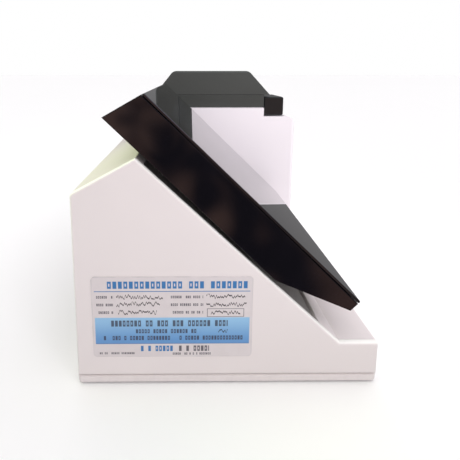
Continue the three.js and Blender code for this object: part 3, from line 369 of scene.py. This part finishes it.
class Printing:
    """Flat print laid out in millimetres across and down from a label's top corner. It spells nothing."""

    BLEED = 0.1

    def __init__(self, paint, across, down):
        self.paint, self.across, self.down = paint, across, down

    def bar(self, left, right, top, bottom):
        """A filled rectangle."""
        return self.across.within(left, right, self.BLEED) * self.down.within(top, bottom, self.BLEED)

    def outline(self, left, right, top, bottom, line=0.35):
        """The frame of a rectangle."""
        inner = self.bar(left + line, right - line, top + line, bottom - line)
        return self.bar(left, right, top, bottom) * (1 - inner)

    def words(self, left, right, top, bottom, pitch):
        """Letter-sized blocks in word-long runs, some of them hollow."""
        cell = (self.across - left) / pitch
        index = cell.floor()
        part = cell - index
        seed = {"W": index + top * 7.3}
        chance = self.paint.node("ShaderNodeTexWhiteNoise", {"noise_dimensions": "1D"}, seed)
        tall = bottom - top
        hollow = part.within(0.34, 0.56, 0.04) * self.down.within(top + tall * 0.3, bottom - tall * 0.3, 0.05)
        block_ink = part.within(0.1, 0.82, 0.05) * (chance > 0.16) * (1 - hollow * (chance > 0.5))
        return self.bar(left, right, top, bottom) * block_ink

    def pen(self, left, right, line, reach):
        """One wandering pen stroke along a line of the form."""
        along = self.paint.node("ShaderNodeCombineXYZ", None, {"X": self.across, "Y": line * 3.7})
        wander = self.paint.noise(0.5, 0.0, along) - 0.5
        steep = self.paint.noise(1.15, 0.0, along) - 0.5
        offset = abs(self.down - line - wander * reach * 2.2 - steep * reach * 2.6)
        return (1 - offset.smooth(0.34, 0.62)) * self.bar(left, right, line - reach, line + reach)

    @staticmethod
    def every(*marks):
        """All the marks as one ink."""
        together = marks[0]
        for mark in marks[1:]:
            together = together.most(mark)
        return together


# ---- Mesh building ----


CLEAR_OF_BASE = 1 * MM
LONG_FOLD = 100 * MM
CREASE = math.radians(32)  # edges that turn by more stay sharp
FLAT = math.radians(0.6)  # facets that turn by less are one face
FOLD = math.radians(20)  # edges that turn by more are corners, not arcs


def from_node(name):
    """A bmesh of a frame node's own shape, its doubles merged and its flat faces made whole."""
    bm = bmesh.new()
    bm.from_mesh(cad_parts[name].data)
    bmesh.ops.remove_doubles(bm, verts=bm.verts, dist=0.001 * MM)
    bmesh.ops.dissolve_limit(bm, angle_limit=FLAT, verts=bm.verts, edges=bm.edges)
    return bm


def folded_edges(bm, chosen):
    """Convex corner edges that pass the test, which is given the edge's middle and its two normals."""
    found = []
    for edge in bm.edges:
        if len(edge.link_faces) == 2 and edge.is_convex and edge.calc_face_angle(0.0) > FOLD:
            middle = (edge.verts[0].co + edge.verts[1].co) / 2
            if chosen(middle, *(face.normal for face in edge.link_faces)):
                found.append(edge)
    return found


def round_edges(bm, edges, radius, segments=4):
    """Bevels the edges round and gives the bmesh back."""
    bmesh.ops.bevel(bm, geom=edges, offset=radius, offset_type="OFFSET", segments=segments, profile=0.5,
                    affect="EDGES", clamp_overlap=True, material=-1)
    return bm


def piece(bm, name, body, slot, material, *nodes):
    """A finished piece that rides on a body, and stands for any frame nodes named."""
    bmesh.ops.remove_doubles(bm, verts=bm.verts, dist=0.0002 * MM)
    mesh = bpy.data.meshes.new(name)
    for face in bm.faces:
        face.smooth = True
    for edge in bm.edges:
        edge.smooth = len(edge.link_faces) == 2 and edge.calc_face_angle(0.0) < CREASE
    bm.to_mesh(mesh)
    bm.free()
    made = bpy.data.objects.new(name, mesh)
    bpy.context.scene.collection.objects.link(made)
    mesh.materials.append(material)
    weighting = made.modifiers.new("Even shading", "WEIGHTED_NORMAL")
    weighting.keep_sharp = True
    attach(made, body)
    if nodes:
        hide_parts(*nodes)
    return made


def repaint(material, *names):
    """Gives frame nodes that keep their own shape a better finish."""
    for name in names:
        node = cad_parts[name]
        if not node.material_slots:
            node.data.materials.append(material)
        for slot in node.material_slots:
            slot.material = material


def lower(name):
    """The low corner of a frame node's box."""
    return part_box(name)[0]


def upper(name):
    """The high corner of a frame node's box."""
    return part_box(name)[1]


def middle(name):
    """The middle of a frame node's box."""
    low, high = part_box(name)
    return (low + high) / 2


def on_sides(name, above=-math.inf):
    """A test for edges that lie on the left or right face of a frame node, above a height."""
    low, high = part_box(name)
    return lambda at, a, b: at.z > above and min(abs(at.x - low.x), abs(at.x - high.x)) < ON_PLANE


def block(low, high, radius):
    """A box between two corners with every edge rounded."""
    bm = bmesh.new()
    bmesh.ops.create_cube(bm, size=1.0)
    low, high = Vector(low), Vector(high)
    bmesh.ops.scale(bm, vec=high - low, verts=bm.verts)
    bmesh.ops.translate(bm, vec=(low + high) / 2, verts=bm.verts)
    return round_edges(bm, list(bm.edges), radius, 2)


def merge(target, *others):
    """Adds the other bmeshes to the first, as loose shells of one piece."""
    for other in others:
        holder = bpy.data.meshes.new("holder")
        other.to_mesh(holder)
        other.free()
        target.from_mesh(holder)
        bpy.data.meshes.remove(holder)
    return target


class Finish:
    """The materials, each made once and shared."""

    def __init__(self):
        self.made = {}

    def get(self, name, maker):
        """The material of that name, made on its first use."""
        if name not in self.made:
            self.made[name] = maker()
        return self.made[name]

    @property
    def casing(self):
        shell = bpy.context.scene.spectro_shell
        return self.get("casing", lambda: moulded(
            "casing_white", tuple(shell.colour), 0.42, grain=0.1, mottle=0.012, dust=0.15
        ))

    @property
    def panel(self):
        shell = bpy.context.scene.spectro_shell
        # the panel has its own material because it carries the painted rim highlight
        return self.get("panel", lambda: moulded(
            "panel_white_painted_rim_highlight", tuple(shell.colour), 0.42, grain=0.1, mottle=0.012, rim=lower("left_side_panel").x
        ))

    @property
    def tower(self):
        shell = bpy.context.scene.spectro_shell
        # painted light: the tower's paler white stands in for stronger light on it
        return self.get("tower", lambda: moulded(
            "tower_white_painted_light", tuple(shell.tower_lit_colour), 0.4, grain=0.1, mottle=0.012, dust=0.35
        ))

    @property
    def deck(self):
        shell = bpy.context.scene.spectro_shell
        return self.get("deck", lambda: moulded(
            "deck_painted_shade", tuple(shell.deck_shade_colour), 0.62, grain=0.35, mottle=0.05
        ))

    @property
    def arm(self):
        arm = bpy.context.scene.spectro_arm
        return self.get("arm", lambda: moulded("arm_grey", tuple(arm.colour), 0.46, grain=0.22, mottle=0.05))

    @property
    def head(self):
        arm = bpy.context.scene.spectro_arm
        return self.get("head", lambda: moulded(
            "head_dark", tuple(arm.head_colour), 0.36, grain=0.14, mottle=0.06
        ))

    @property
    def case(self):
        display = bpy.context.scene.spectro_display
        return self.get("case", lambda: polished(
            "display_case_black", tuple(display.colour), 0.045, smear=0.03, Specular_IOR_Level=0.3
        ))

    @property
    def steel(self):
        return self.get("steel", lambda: brushed("ground_steel", (0.58, 0.585, 0.6), 0.3))

    @property
    def board(self):
        return self.get("board", circuit_board)

    @property
    def black_plastic(self):
        return self.get("black", lambda: moulded("connector_black", (0.018, 0.018, 0.02), 0.5, grain=0.2))

    @property
    def gold(self):
        return self.get("gold", lambda: brushed("contact_gold", (0.86, 0.62, 0.24), 0.28, (900, 60, 900)))

    @property
    def alloy(self):
        return self.get("alloy", lambda: brushed("bench_alloy", (0.36, 0.37, 0.385), 0.48, (200, 220, 240)))


finish = Finish()


# ---- Operators ----


class SPECTRO_OT_shell(bpy.types.Operator):
    """Make the white casing, its base and the grey deck"""

    bl_idname = "spectro.shell"
    bl_label = "Casing"

    def execute(self, context):
        shell = context.scene.spectro_shell
        outer = lower("left_side_panel").x
        panel = from_node("left_side_panel")
        rim = folded_edges(panel, lambda at, a, b: abs(at.x - outer) < ON_PLANE)
        piece(round_edges(panel, rim, shell.rim_radius, 5), "side_panel", "chassis", "white_housing",
              finish.panel, "left_side_panel")

        ground = lower("main_housing").z + CLEAR_OF_BASE
        housing = from_node("main_housing")
        folds = folded_edges(housing, lambda at, a, b: at.z > ground and abs(a.x) + abs(b.x) < 0.1)
        long_folds = [edge for edge in folds if edge.calc_length() > LONG_FOLD]
        piece(round_edges(housing, long_folds, shell.fold_radius, 3), "housing_shell", "chassis",
              "white_housing", finish.casing, "main_housing")

        tower = from_node("tower_housing")
        sides = folded_edges(tower, on_sides("tower_housing", lower("tower_housing").z + CLEAR_OF_BASE))
        piece(round_edges(tower, sides, shell.tower_radius, 6), "tower_shell", "chassis",
              "white_housing", finish.tower, "tower_housing")

        tray = from_node("base_tray")
        bottom = lower("base_tray").z
        skirt = folded_edges(tray, lambda at, a, b: abs(at.z - bottom) < ON_PLANE)
        piece(round_edges(tray, skirt, shell.base_radius, 3), "base_shell", "chassis", "white_housing",
              finish.casing, "base_tray")

        # painted shade: a grey deck put where the white slope lies in the display's shadow
        deck = from_node("deck_insert")
        edges = folded_edges(deck, lambda at, a, b: True)
        piece(round_edges(deck, edges, 0.4 * MM, 2), "deck_shade_plate", "chassis", "grey_deck",
              finish.deck, "deck_insert")
        return {"FINISHED"}


class SPECTRO_OT_display(bpy.types.Operator):
    """Make the display's case, cover glass and hinge"""

    bl_idname = "spectro.display"
    bl_label = "Display"

    def execute(self, context):
        display = context.scene.spectro_display
        case = from_node("display_rear_cover")
        outer = folded_edges(case, on_sides("display_rear_cover"))
        piece(round_edges(case, outer, display.edge, 3), "display_case", "display", "display_case",
              finish.case, "display_rear_cover")
        glass = from_node("display_glass")
        piece(round_edges(glass, list(glass.edges), display.glass_edge, 3), "cover_glass", "display",
              "display_glass", self.glass(), "display_glass")
        repaint(finish.steel, "display_bracket", "display_hinge_pin_left", "display_hinge_pin_right")
        repaint(finish.board, "display_board")
        repaint(polished("lcd_black", (0.006, 0.007, 0.009), 0.2), "lcd_panel")
        return {"FINISHED"}

    @staticmethod
    def glass():
        """Black-backed cover glass, a shade lighter over the unlit screen."""
        paint = Paint("cover_glass", Coat_Weight=0.5, Coat_Roughness=0.015, Coat_IOR=1.5)
        low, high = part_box("lcd_panel")
        soft = 0.4 * MM
        screen = (paint.axis(0).within(low.x + 5 * MM, high.x - 5 * MM, soft)
                  * paint.axis(2).within(low.z + 6 * MM, high.z - 2 * MM, soft))
        wiped = paint.noise(18, 5.0, paint.scaled((1, 1.4, 0.8), (0.7, 0.1, 0.5)))
        return paint.set(
            Base_Color=paint.mix(screen, (0.0025, 0.0025, 0.0035), (0.014, 0.016, 0.020)),
            Roughness=wiped.smooth(0.5, 0.8) * 0.03 + 0.02,
            Normal=paint.bump(paint.noise(60, 2.0), 0.02, HAIRLINE_DEPTH),
        ).material


class SPECTRO_OT_arm(bpy.types.Operator):
    """Make the sampling arm's cover, strip and head"""

    bl_idname = "spectro.arm"
    bl_label = "Sampling arm"

    def execute(self, context):
        arm = context.scene.spectro_arm
        cover = from_node("arm_cover")
        rim = lower("arm_cover").z
        hips = folded_edges(cover, lambda at, a, b: at.z > rim + 0.5 * MM and max(abs(a.x), abs(b.x)) > 0.9)
        round_edges(cover, hips, arm.edge, 5)
        groove = folded_edges(cover, lambda at, a, b: at.z < rim + 0.2 * MM and min(a.z, b.z) < -0.9)
        piece(round_edges(cover, groove, arm.groove, 2), "arm_top_cover", "arm", "arm_shell",
              finish.arm, "arm_cover")

        strip = from_node("arm_frame")
        sides = folded_edges(strip, on_sides("arm_frame"))
        piece(round_edges(strip, sides, arm.strip_edge, 3), "arm_strip", "arm", "arm_shell",
              finish.arm, "arm_frame")

        head = from_node("arm_head")
        flanks = folded_edges(head, on_sides("arm_head"))
        piece(round_edges(head, flanks, arm.head_edge, 4), "arm_head_block", "arm", "arm_head",
              finish.head, "arm_head")
        repaint(finish.steel, "upper_pedestal", "arm_hinge_pin", "arm_hinge_bracket")
        repaint(finish.black_plastic, "arm_fibre")
        return {"FINISHED"}


class SPECTRO_OT_station(bpy.types.Operator):
    """Finish the pedestals and their plate"""

    bl_idname = "spectro.station"
    bl_label = "Sampling station"

    def execute(self, context):
        repaint(finish.steel, "pedestal_plate", "lower_pedestal", "solenoid_cradle")
        repaint(finish.get("copper", wound_copper), "pedestal_solenoid")
        return {"FINISHED"}


class SPECTRO_OT_label(bpy.types.Operator):
    """Print the service tag on the side panel: a plain form of bars, dashes and pen strokes"""

    bl_idname = "spectro.label"
    bl_label = "Service tag"

    def execute(self, context):
        low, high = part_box("service_label")
        paint = Paint("service_tag", Coat_Weight=0.25, Coat_Roughness=0.2)
        tag = Printing(paint, (high.y - paint.axis(1)) / MM, (high.z - paint.axis(2)) / MM)
        bar, words, pen, every = tag.bar, tag.words, tag.pen, tag.every
        width, tall = (high.y - low.y) / MM, (high.z - low.z) / MM
        paper = paint.mix(paint.noise(160, 3.0), (0.66, 0.605, 0.615), (0.74, 0.685, 0.70))
        band = bar(1.8, width - 1.8, 28.6, 47.0)
        fade = paint.mix(tag.down.smooth(27, 47), (0.30, 0.55, 0.80), (0.12, 0.31, 0.62))
        colour = paint.mix(band, paper, fade)
        blue = every(
            words(3, 101, 3.2, 8.2, 3.5),
            bar(1.8, width - 1.8, 9.9, 10.4),
            bar(1.8, width - 1.8, 47.0, 47.5),
            words(31, 55, 48.9, 52.9, 2.4),
        )
        colour = paint.mix(blue, colour, (0.035, 0.19, 0.46))
        ink = every(
            words(3, 14, 13.2, 15.0, 1.2), words(3, 14, 18.6, 20.4, 1.2), words(3, 14, 24.0, 25.8, 1.2),
            words(51, 72, 13.2, 15.0, 1.2), words(51, 72, 18.6, 20.4, 1.2), words(51, 72, 24.0, 25.8, 1.2),
            words(12, 88, 30.6, 34.9, 2.5), words(28, 70, 36.9, 39.8, 1.9), words(7, 98, 41.7, 44.7, 1.9),
            words(56, 76, 48.9, 52.9, 2.4), words(4, 27, 53.6, 55.0, 1.1), words(52, 78, 54.0, 55.6, 1.1),
            tag.outline(74.5, 98.5, 22.3, 28.2),
        )
        colour = paint.mix(ink * 0.85, colour, (0.03, 0.035, 0.06))
        written = every(
            pen(16, 46, 13.8, 2.0), pen(16, 44, 19.2, 2.0), pen(17, 42, 24.8, 1.8),
            pen(74, 99, 13.8, 1.9), pen(74, 100, 19.2, 1.9), pen(77, 96, 25.3, 1.7), pen(82, 88, 38.4, 1.4),
        )
        colour = paint.mix(written * 0.9, colour, (0.012, 0.012, 0.02))
        edge = 1 - bar(0.5, width - 0.5, 0.5, tall - 0.5)
        colour = paint.mix(edge * paint.noise(90, 4.0).smooth(0.4, 0.7) * 0.5, colour, (0.45, 0.44, 0.46))
        ripple = paint.noise(55, 2.0)
        paint.set(
            Base_Color=colour,
            Roughness=ripple * 0.12 + 0.3 - written * 0.08,
            Normal=paint.bump(ripple, 0.12, 0.6 * MM),
        )
        repaint(paint.material, "service_label")
        return {"FINISHED"}


class SPECTRO_OT_connectors(bpy.types.Operator):
    """Finish the rear connector panel"""

    bl_idname = "spectro.connectors"
    bl_label = "Rear connectors"

    HEAD_DEPTH = 1.6 * MM
    CROSS = (1.7 * MM, 0.35 * MM)  # half the length and width of an arm of the recess
    TONGUE_HALF = 0.7 * MM
    TONGUE_RISE = 0.8 * MM
    CONTACT_HALF = 0.5 * MM
    WIRES = 8
    WIRE_PITCH = 1.02 * MM
    WIRE_HALF = 0.22 * MM
    WIRE_LEAN = math.radians(-16)

    def execute(self, context):
        repaint(finish.black_plastic, "connector_panel", "dc_inlet")
        repaint(self.button(), "power_button")
        repaint(finish.steel, "usb_socket_left", "usb_socket_right", "network_socket")
        for side in ("left", "right"):
            self.usb_tongue(side)
            self.screw_head(side)
        self.network_contacts()
        return {"FINISHED"}

    @staticmethod
    def button():
        """Black button with a plain printed ring and stroke."""
        centre = middle("power_button")
        paint = Paint("power_button_black")
        across, up = (paint.axis(0) - centre.x) / MM, (paint.axis(2) - centre.z) / MM
        reach = (across * across + up * up).root()
        gap = (abs(across) < 1.1) * (up > 0)
        ring = reach.within(2.7, 3.3, 0.08) * (1 - gap)
        stroke = across.within(-0.3, 0.3, 0.08) * up.within(1.4, 3.7, 0.08)
        grit = paint.noise(GRAIN_SCALE, 1.5)
        return paint.set(
            Base_Color=paint.mix(ring.most(stroke), (0.016, 0.016, 0.018), (0.6, 0.6, 0.6)),
            Roughness=paint.noise(90, 3.0) * 0.15 + 0.38,
            Normal=paint.bump(grit, 0.16, 0.1 * MM),
        ).material

    def usb_tongue(self, side):
        """The blue tongue in a USB mouth, with four gold contacts along it."""
        name = f"usb_socket_{side}"
        centre, mouth, deep = middle(name), upper(name).y, lower(name).y
        wide = upper(name).x - lower(name).x
        half, height = wide * 0.36, centre.z + self.TONGUE_RISE
        under = height - self.TONGUE_HALF
        tongue = block((centre.x - half, deep + 0.9 * MM, under),
                       (centre.x + half, mouth - 1.2 * MM, height + self.TONGUE_HALF), 0.15 * MM)
        blue = finish.get("tongue", lambda: moulded("tongue_blue", (0.02, 0.09, 0.32), 0.42, grain=0.1))
        piece(tongue, f"usb_tongue_{side}", "chassis", "connector_black", blue)
        contacts = bmesh.new()
        for place in (-1.5, -0.5, 0.5, 1.5):
            x = centre.x + place * wide * 0.16
            merge(contacts, block((x - self.CONTACT_HALF, deep + 2 * MM, under - 0.15 * MM),
                                  (x + self.CONTACT_HALF, mouth - 2 * MM, under + 0.05 * MM), 0.05 * MM))
        piece(contacts, f"usb_contacts_{side}", "chassis", "steel", finish.gold)

    def network_contacts(self):
        """Eight sprung wires that lean into the network mouth."""
        centre, low, high = middle("network_socket"), lower("network_socket"), upper("network_socket")
        lean = Matrix.Rotation(self.WIRE_LEAN, 3, "X")
        tip = high.y - 4 * MM
        wires = bmesh.new()
        for index in range(self.WIRES):
            x = centre.x + (index - (self.WIRES - 1) / 2) * self.WIRE_PITCH
            wire = block((x - self.WIRE_HALF, low.y + 1.2 * MM, low.z + 2.0 * MM),
                         (x + self.WIRE_HALF, tip, low.z + 2.45 * MM), 0.1 * MM)
            bmesh.ops.rotate(wire, cent=(x, tip, low.z + 2.2 * MM), matrix=lean, verts=wire.verts)
            merge(wires, wire)
        piece(wires, "network_contacts", "chassis", "steel", finish.gold)

    def screw_head(self, side):
        """A domed screw head with a cross recess."""
        name = f"panel_screw_{side}"
        centre, face = middle(name), upper(name).y
        radius = (upper(name).x - lower(name).x) / 2
        head = bmesh.new()
        bmesh.ops.create_cone(head, cap_ends=True, segments=32, radius1=radius, radius2=radius,
                              depth=self.HEAD_DEPTH)
        bmesh.ops.rotate(head, matrix=Matrix.Rotation(math.radians(-90), 3, "X"), verts=head.verts)
        bmesh.ops.translate(head, vec=(centre.x, face - self.HEAD_DEPTH / 2, centre.z),
                            verts=head.verts)
        crown = [edge for edge in head.edges if all(v.co.y > face - ON_PLANE for v in edge.verts)]
        round_edges(head, crown, 0.7 * MM, 4)
        piece(head, f"screw_head_{side}", "chassis", "steel", finish.steel, name)
        recess = bmesh.new()
        for x, z in (self.CROSS, self.CROSS[::-1]):
            merge(recess, block((centre.x - x, face - 0.6 * MM, centre.z - z),
                                (centre.x + x, face + 0.02 * MM, centre.z + z), 0.1 * MM))
        piece(recess, f"screw_recess_{side}", "chassis", "connector_black", finish.black_plastic)


class SPECTRO_OT_underside(bpy.types.Operator):
    """Finish the feet and add the base screws and the rating plate"""

    bl_idname = "spectro.underside"
    bl_label = "Underside"

    SCREW_INSET = (0.82, 0.72)  # of the feet's places, across and deep
    CROSS = (1.5 * MM, 0.3 * MM)
    PLATE_HALF = (36 * MM, 22 * MM)

    def execute(self, context):
        feet = [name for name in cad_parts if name.startswith("foot_")]
        repaint(rubber(), *feet)
        ground = lower("base_tray").z
        heads, recesses = bmesh.new(), bmesh.new()
        for name in feet:
            centre = middle(name)
            x, y = centre.x * self.SCREW_INSET[0], centre.y * self.SCREW_INSET[1]
            head = bmesh.new()
            bmesh.ops.create_cone(head, cap_ends=True, segments=28, radius1=2.6 * MM, radius2=3.1 * MM,
                                  depth=0.5 * MM)
            bmesh.ops.translate(head, vec=(x, y, ground - 0.2 * MM), verts=head.verts)
            merge(heads, head)
            for wide, deep in (self.CROSS, self.CROSS[::-1]):
                merge(recesses, block((x - wide, y - deep, ground - 0.47 * MM),
                                      (x + wide, y + deep, ground - 0.1 * MM), 0.05 * MM))
        piece(heads, "base_screws", "chassis", "steel", finish.steel)
        piece(recesses, "base_screw_recesses", "chassis", "connector_black", finish.black_plastic)
        self.rating_plate(ground)
        return {"FINISHED"}

    def rating_plate(self, ground):
        """A silver plate with plain print, as every mains instrument has under it."""
        half, deep = self.PLATE_HALF
        plate = block((-half, -deep, ground - 0.25 * MM), (half, deep, ground), 0.1 * MM)
        paint = Paint("rating_plate_silver", Metallic=0.6)
        plan = Printing(paint, (paint.axis(0) + half) / MM, (paint.axis(1) + deep) / MM)
        ink = plan.every(plan.outline(1.5, 70.5, 1.5, 42.5), *(
            plan.words(5, reach, row, row + 2.4, 1.7)
            for row, reach in ((6, 40), (12, 62), (17, 58), (22, 64), (27, 50))
        ))
        brush = paint.noise(1.0, 3.0, paint.scaled((40, 1400, 40)))
        silver = paint.mix(brush, (0.5, 0.5, 0.51), (0.62, 0.62, 0.63))
        paint.set(Base_Color=paint.mix(ink, silver, (0.03, 0.03, 0.035)), Roughness=brush * 0.15 + 0.3)
        piece(plate, "rating_plate", "chassis", "label", paint.material)


class SPECTRO_OT_inside(bpy.types.Operator):
    """Finish the pieces inside the casing"""

    bl_idname = "spectro.inside"
    bl_label = "Inside"

    def execute(self, context):
        repaint(finish.board, "main_board", "power_board", "connector_board")
        repaint(finish.alloy, "optical_bench", "optical_bench_cover", "flash_lamp_module")
        repaint(finish.black_plastic, "spectrometer_fibre")
        return {"FINISHED"}


class SPECTRO_OT_stage(bpy.types.Operator):
    """Set the floor, the soft lights, the surroundings and the camera"""

    bl_idname = "spectro.stage"
    bl_label = "Stage"

    EYE = (-0.3032, 0.0323, 0.2062)
    BEARING = -90.34  # degrees from +Y, so it looks along +X
    SHIFT = (0.091, -0.26)
    FLOOR_REACH = 40.0
    # name, the way to it, spread in degrees, strength, colour
    SUNS = (
        ("Window side", (-1.0, -0.35, 1.15), 70, 0.68, (1, 0.985, 0.985)),
        ("Ceiling", (0.35, 0.15, 1.0), 90, 1.12, (1, 0.975, 1)),
        ("Front", (0.25, -1.0, 0.75), 60, 0.5, (1, 0.98, 1)),
    )
    # name, place, target, size, watts, colour, spread in degrees
    PANEL_LIGHTS = (
        ("Over the display", (-0.3, -0.2, 0.42), (0.07, -0.02, 0.12), 0.2, 0.17, (1, 0.93, 1), 56),
        ("Leaf side", (-0.09, 0.34, 0.36), (-0.09, 0.075, 0.15), 0.14, 0.038, (0.78, 1, 0.36), 40),
    )
    # the way to it, the cosines of its outer and inner rim, colour
    GLOWS = (
        ((-0.95, 0.27, -0.15), 0.992, 0.9985, (1.4, 0.84, 0.7)),
        ((-0.98, 0.1, -0.18), 0.995, 0.999, (1.0, 0.6, 0.5)),
        ((-0.9, -0.03, -0.43), 0.989, 0.998, (1.2, 0.7, 0.57)),
        ((-0.1, -0.75, 0.65), 0.86, 1.0, (1.5, 1.3, 1.8)),
    )
    FILL = (0.51, 0.51, 0.51)
    BACKDROP = (1.0, 1.0, 1.0)

    def execute(self, context):
        stage = context.scene.spectro_stage
        self.floor(stage)
        self.surroundings(context.scene)
        for light in self.SUNS:
            self.sun(*light)
        for light in self.PANEL_LIGHTS:
            self.panel_light(*light)
        self.camera(context.scene, stage)
        return {"FINISHED"}

    def camera(self, scene, stage):
        """A camera square on the left side, looking a little down, shifted to hold the whole instrument."""
        camera = bpy.data.cameras.new("Camera")
        camera.lens, camera.sensor_width = stage.lens, 36
        camera.shift_x, camera.shift_y = self.SHIFT
        camera.clip_start = 10 * MM
        holder = bpy.data.objects.new("Camera", camera)
        scene.collection.objects.link(holder)
        holder.location = self.EYE
        holder.rotation_euler = (math.radians(90) - stage.pitch, 0, math.radians(self.BEARING))
        scene.camera = holder
        scene.view_settings.view_transform = "Standard"

    def floor(self, stage):
        """A wide pale floor that the mirror-like pieces do not see."""
        bm = bmesh.new()
        bmesh.ops.create_grid(bm, x_segments=1, y_segments=1, size=self.FLOOR_REACH)
        mesh = bpy.data.meshes.new("floor")
        bm.to_mesh(mesh)
        bm.free()
        floor = bpy.data.objects.new("floor", mesh)
        bpy.context.scene.collection.objects.link(floor)
        paint = Paint("floor_pale")
        cloud = paint.noise(3, 2.0)
        paint.set(
            Base_Color=paint.mix(cloud, shade(stage.floor_colour, 0.99), tuple(stage.floor_colour)),
            Roughness=cloud * 0.05 + 0.75,
        )
        mesh.materials.append(paint.material)
        floor.visible_glossy = False

    def surroundings(self, scene):
        """White to the camera, even for soft light, and a room with a dark left side in the gloss."""
        world = bpy.data.worlds.new("Soft studio")
        scene.world = world
        world.use_nodes = True
        room = Tree(world.node_tree)
        direction = room.node("ShaderNodeTexCoord", output="Generated")
        x, up = (room.node("ShaderNodeSeparateXYZ", None, {0: direction}, output=index) for index in (0, 2))
        dark_side = (1 - x.smooth(-0.75, -0.35)) * (1 - up.smooth(0.45, 0.75))
        gloss = room.mix(up.smooth(-0.1, 0.8), (0.19, 0.185, 0.19), (0.6, 0.61, 0.62))
        patches = room.node("ShaderNodeTexNoise", None, {"Vector": direction, "Scale": 5.0, "Detail": 1.0})
        warm = room.mix(patches.smooth(0.43, 0.66), (0.04, 0.036, 0.06), (0.8, 0.46, 0.38))
        gloss = room.mix(dark_side, gloss, warm)
        ragged = patches.smooth(0.3, 0.5)
        for towards, low, high, colour in self.GLOWS:
            near = room.node("ShaderNodeVectorMath", {"operation": "DOT_PRODUCT"},
                             {0: direction, 1: Vector(towards).normalized()}, output=1)
            gloss = room.mix(near.smooth(low, high) * ragged, gloss, colour)
        seen = room.mix(room.node("ShaderNodeLightPath", output="Is Glossy Ray"), self.FILL, gloss)
        seen = room.mix(room.node("ShaderNodeLightPath", output="Is Camera Ray"), seen, self.BACKDROP)
        room.feed(world.node_tree.nodes["Background"].inputs["Color"], seen)

    @staticmethod
    def sun(name, towards, spread, power, colour):
        """A very soft light from far off, the same over the whole floor."""
        lamp = bpy.data.lights.new(name, "SUN")
        lamp.angle, lamp.energy, lamp.color = math.radians(spread), power, colour
        holder = bpy.data.objects.new(name, lamp)
        bpy.context.scene.collection.objects.link(holder)
        holder.rotation_euler = Vector(towards).to_track_quat("Z", "Y").to_euler()
        holder.visible_glossy = False

    @staticmethod
    def panel_light(name, place, target, size, power, colour, spread):
        """A soft local light that leaves no bright patch in the gloss."""
        lamp = bpy.data.lights.new(name, "AREA")
        lamp.shape, lamp.size, lamp.energy, lamp.color = "DISK", size, power, colour
        lamp.spread = math.radians(spread)
        holder = bpy.data.objects.new(name, lamp)
        bpy.context.scene.collection.objects.link(holder)
        holder.location = place
        holder.rotation_euler = (Vector(place) - Vector(target)).to_track_quat("Z", "Y").to_euler()
        holder.visible_glossy = False


class SPECTRO_PT_panel(bpy.types.Panel):
    """Lists the pieces and their settings"""

    bl_idname = "SPECTRO_PT_panel"
    bl_label = "Spectrophotometer"
    bl_space_type = "VIEW_3D"
    bl_region_type = "UI"
    bl_category = "Spectrophotometer"

    def draw(self, context):
        for operator in OPERATORS:
            self.layout.operator(operator.bl_idname)
        for group, settings in GROUPS.items():
            column = self.layout.column(heading=settings.__doc__)
            for name in settings.__annotations__:
                column.prop(getattr(context.scene, group), name)


OPERATORS = (
    SPECTRO_OT_stage,
    SPECTRO_OT_shell,
    SPECTRO_OT_display,
    SPECTRO_OT_arm,
    SPECTRO_OT_station,
    SPECTRO_OT_label,
    SPECTRO_OT_connectors,
    SPECTRO_OT_underside,
    SPECTRO_OT_inside,
)


def register():
    """Registers the classes and hangs the settings on the scene."""
    for cls in (*GROUPS.values(), *OPERATORS, SPECTRO_PT_panel):
        bpy.utils.register_class(cls)
    for name, settings in GROUPS.items():
        setattr(bpy.types.Scene, name, bpy.props.PointerProperty(type=settings))


def unregister():
    """Takes the settings and the classes away again."""
    for name in GROUPS:
        delattr(bpy.types.Scene, name)
    for cls in reversed((*GROUPS.values(), *OPERATORS, SPECTRO_PT_panel)):
        bpy.utils.unregister_class(cls)


def main():
    """Runs every operator, then records the two boxes."""
    register()
    for operator in OPERATORS:
        group, name = operator.bl_idname.split(".")
        getattr(getattr(bpy.ops, group), name)()


if __name__ == "__main__":
    main()
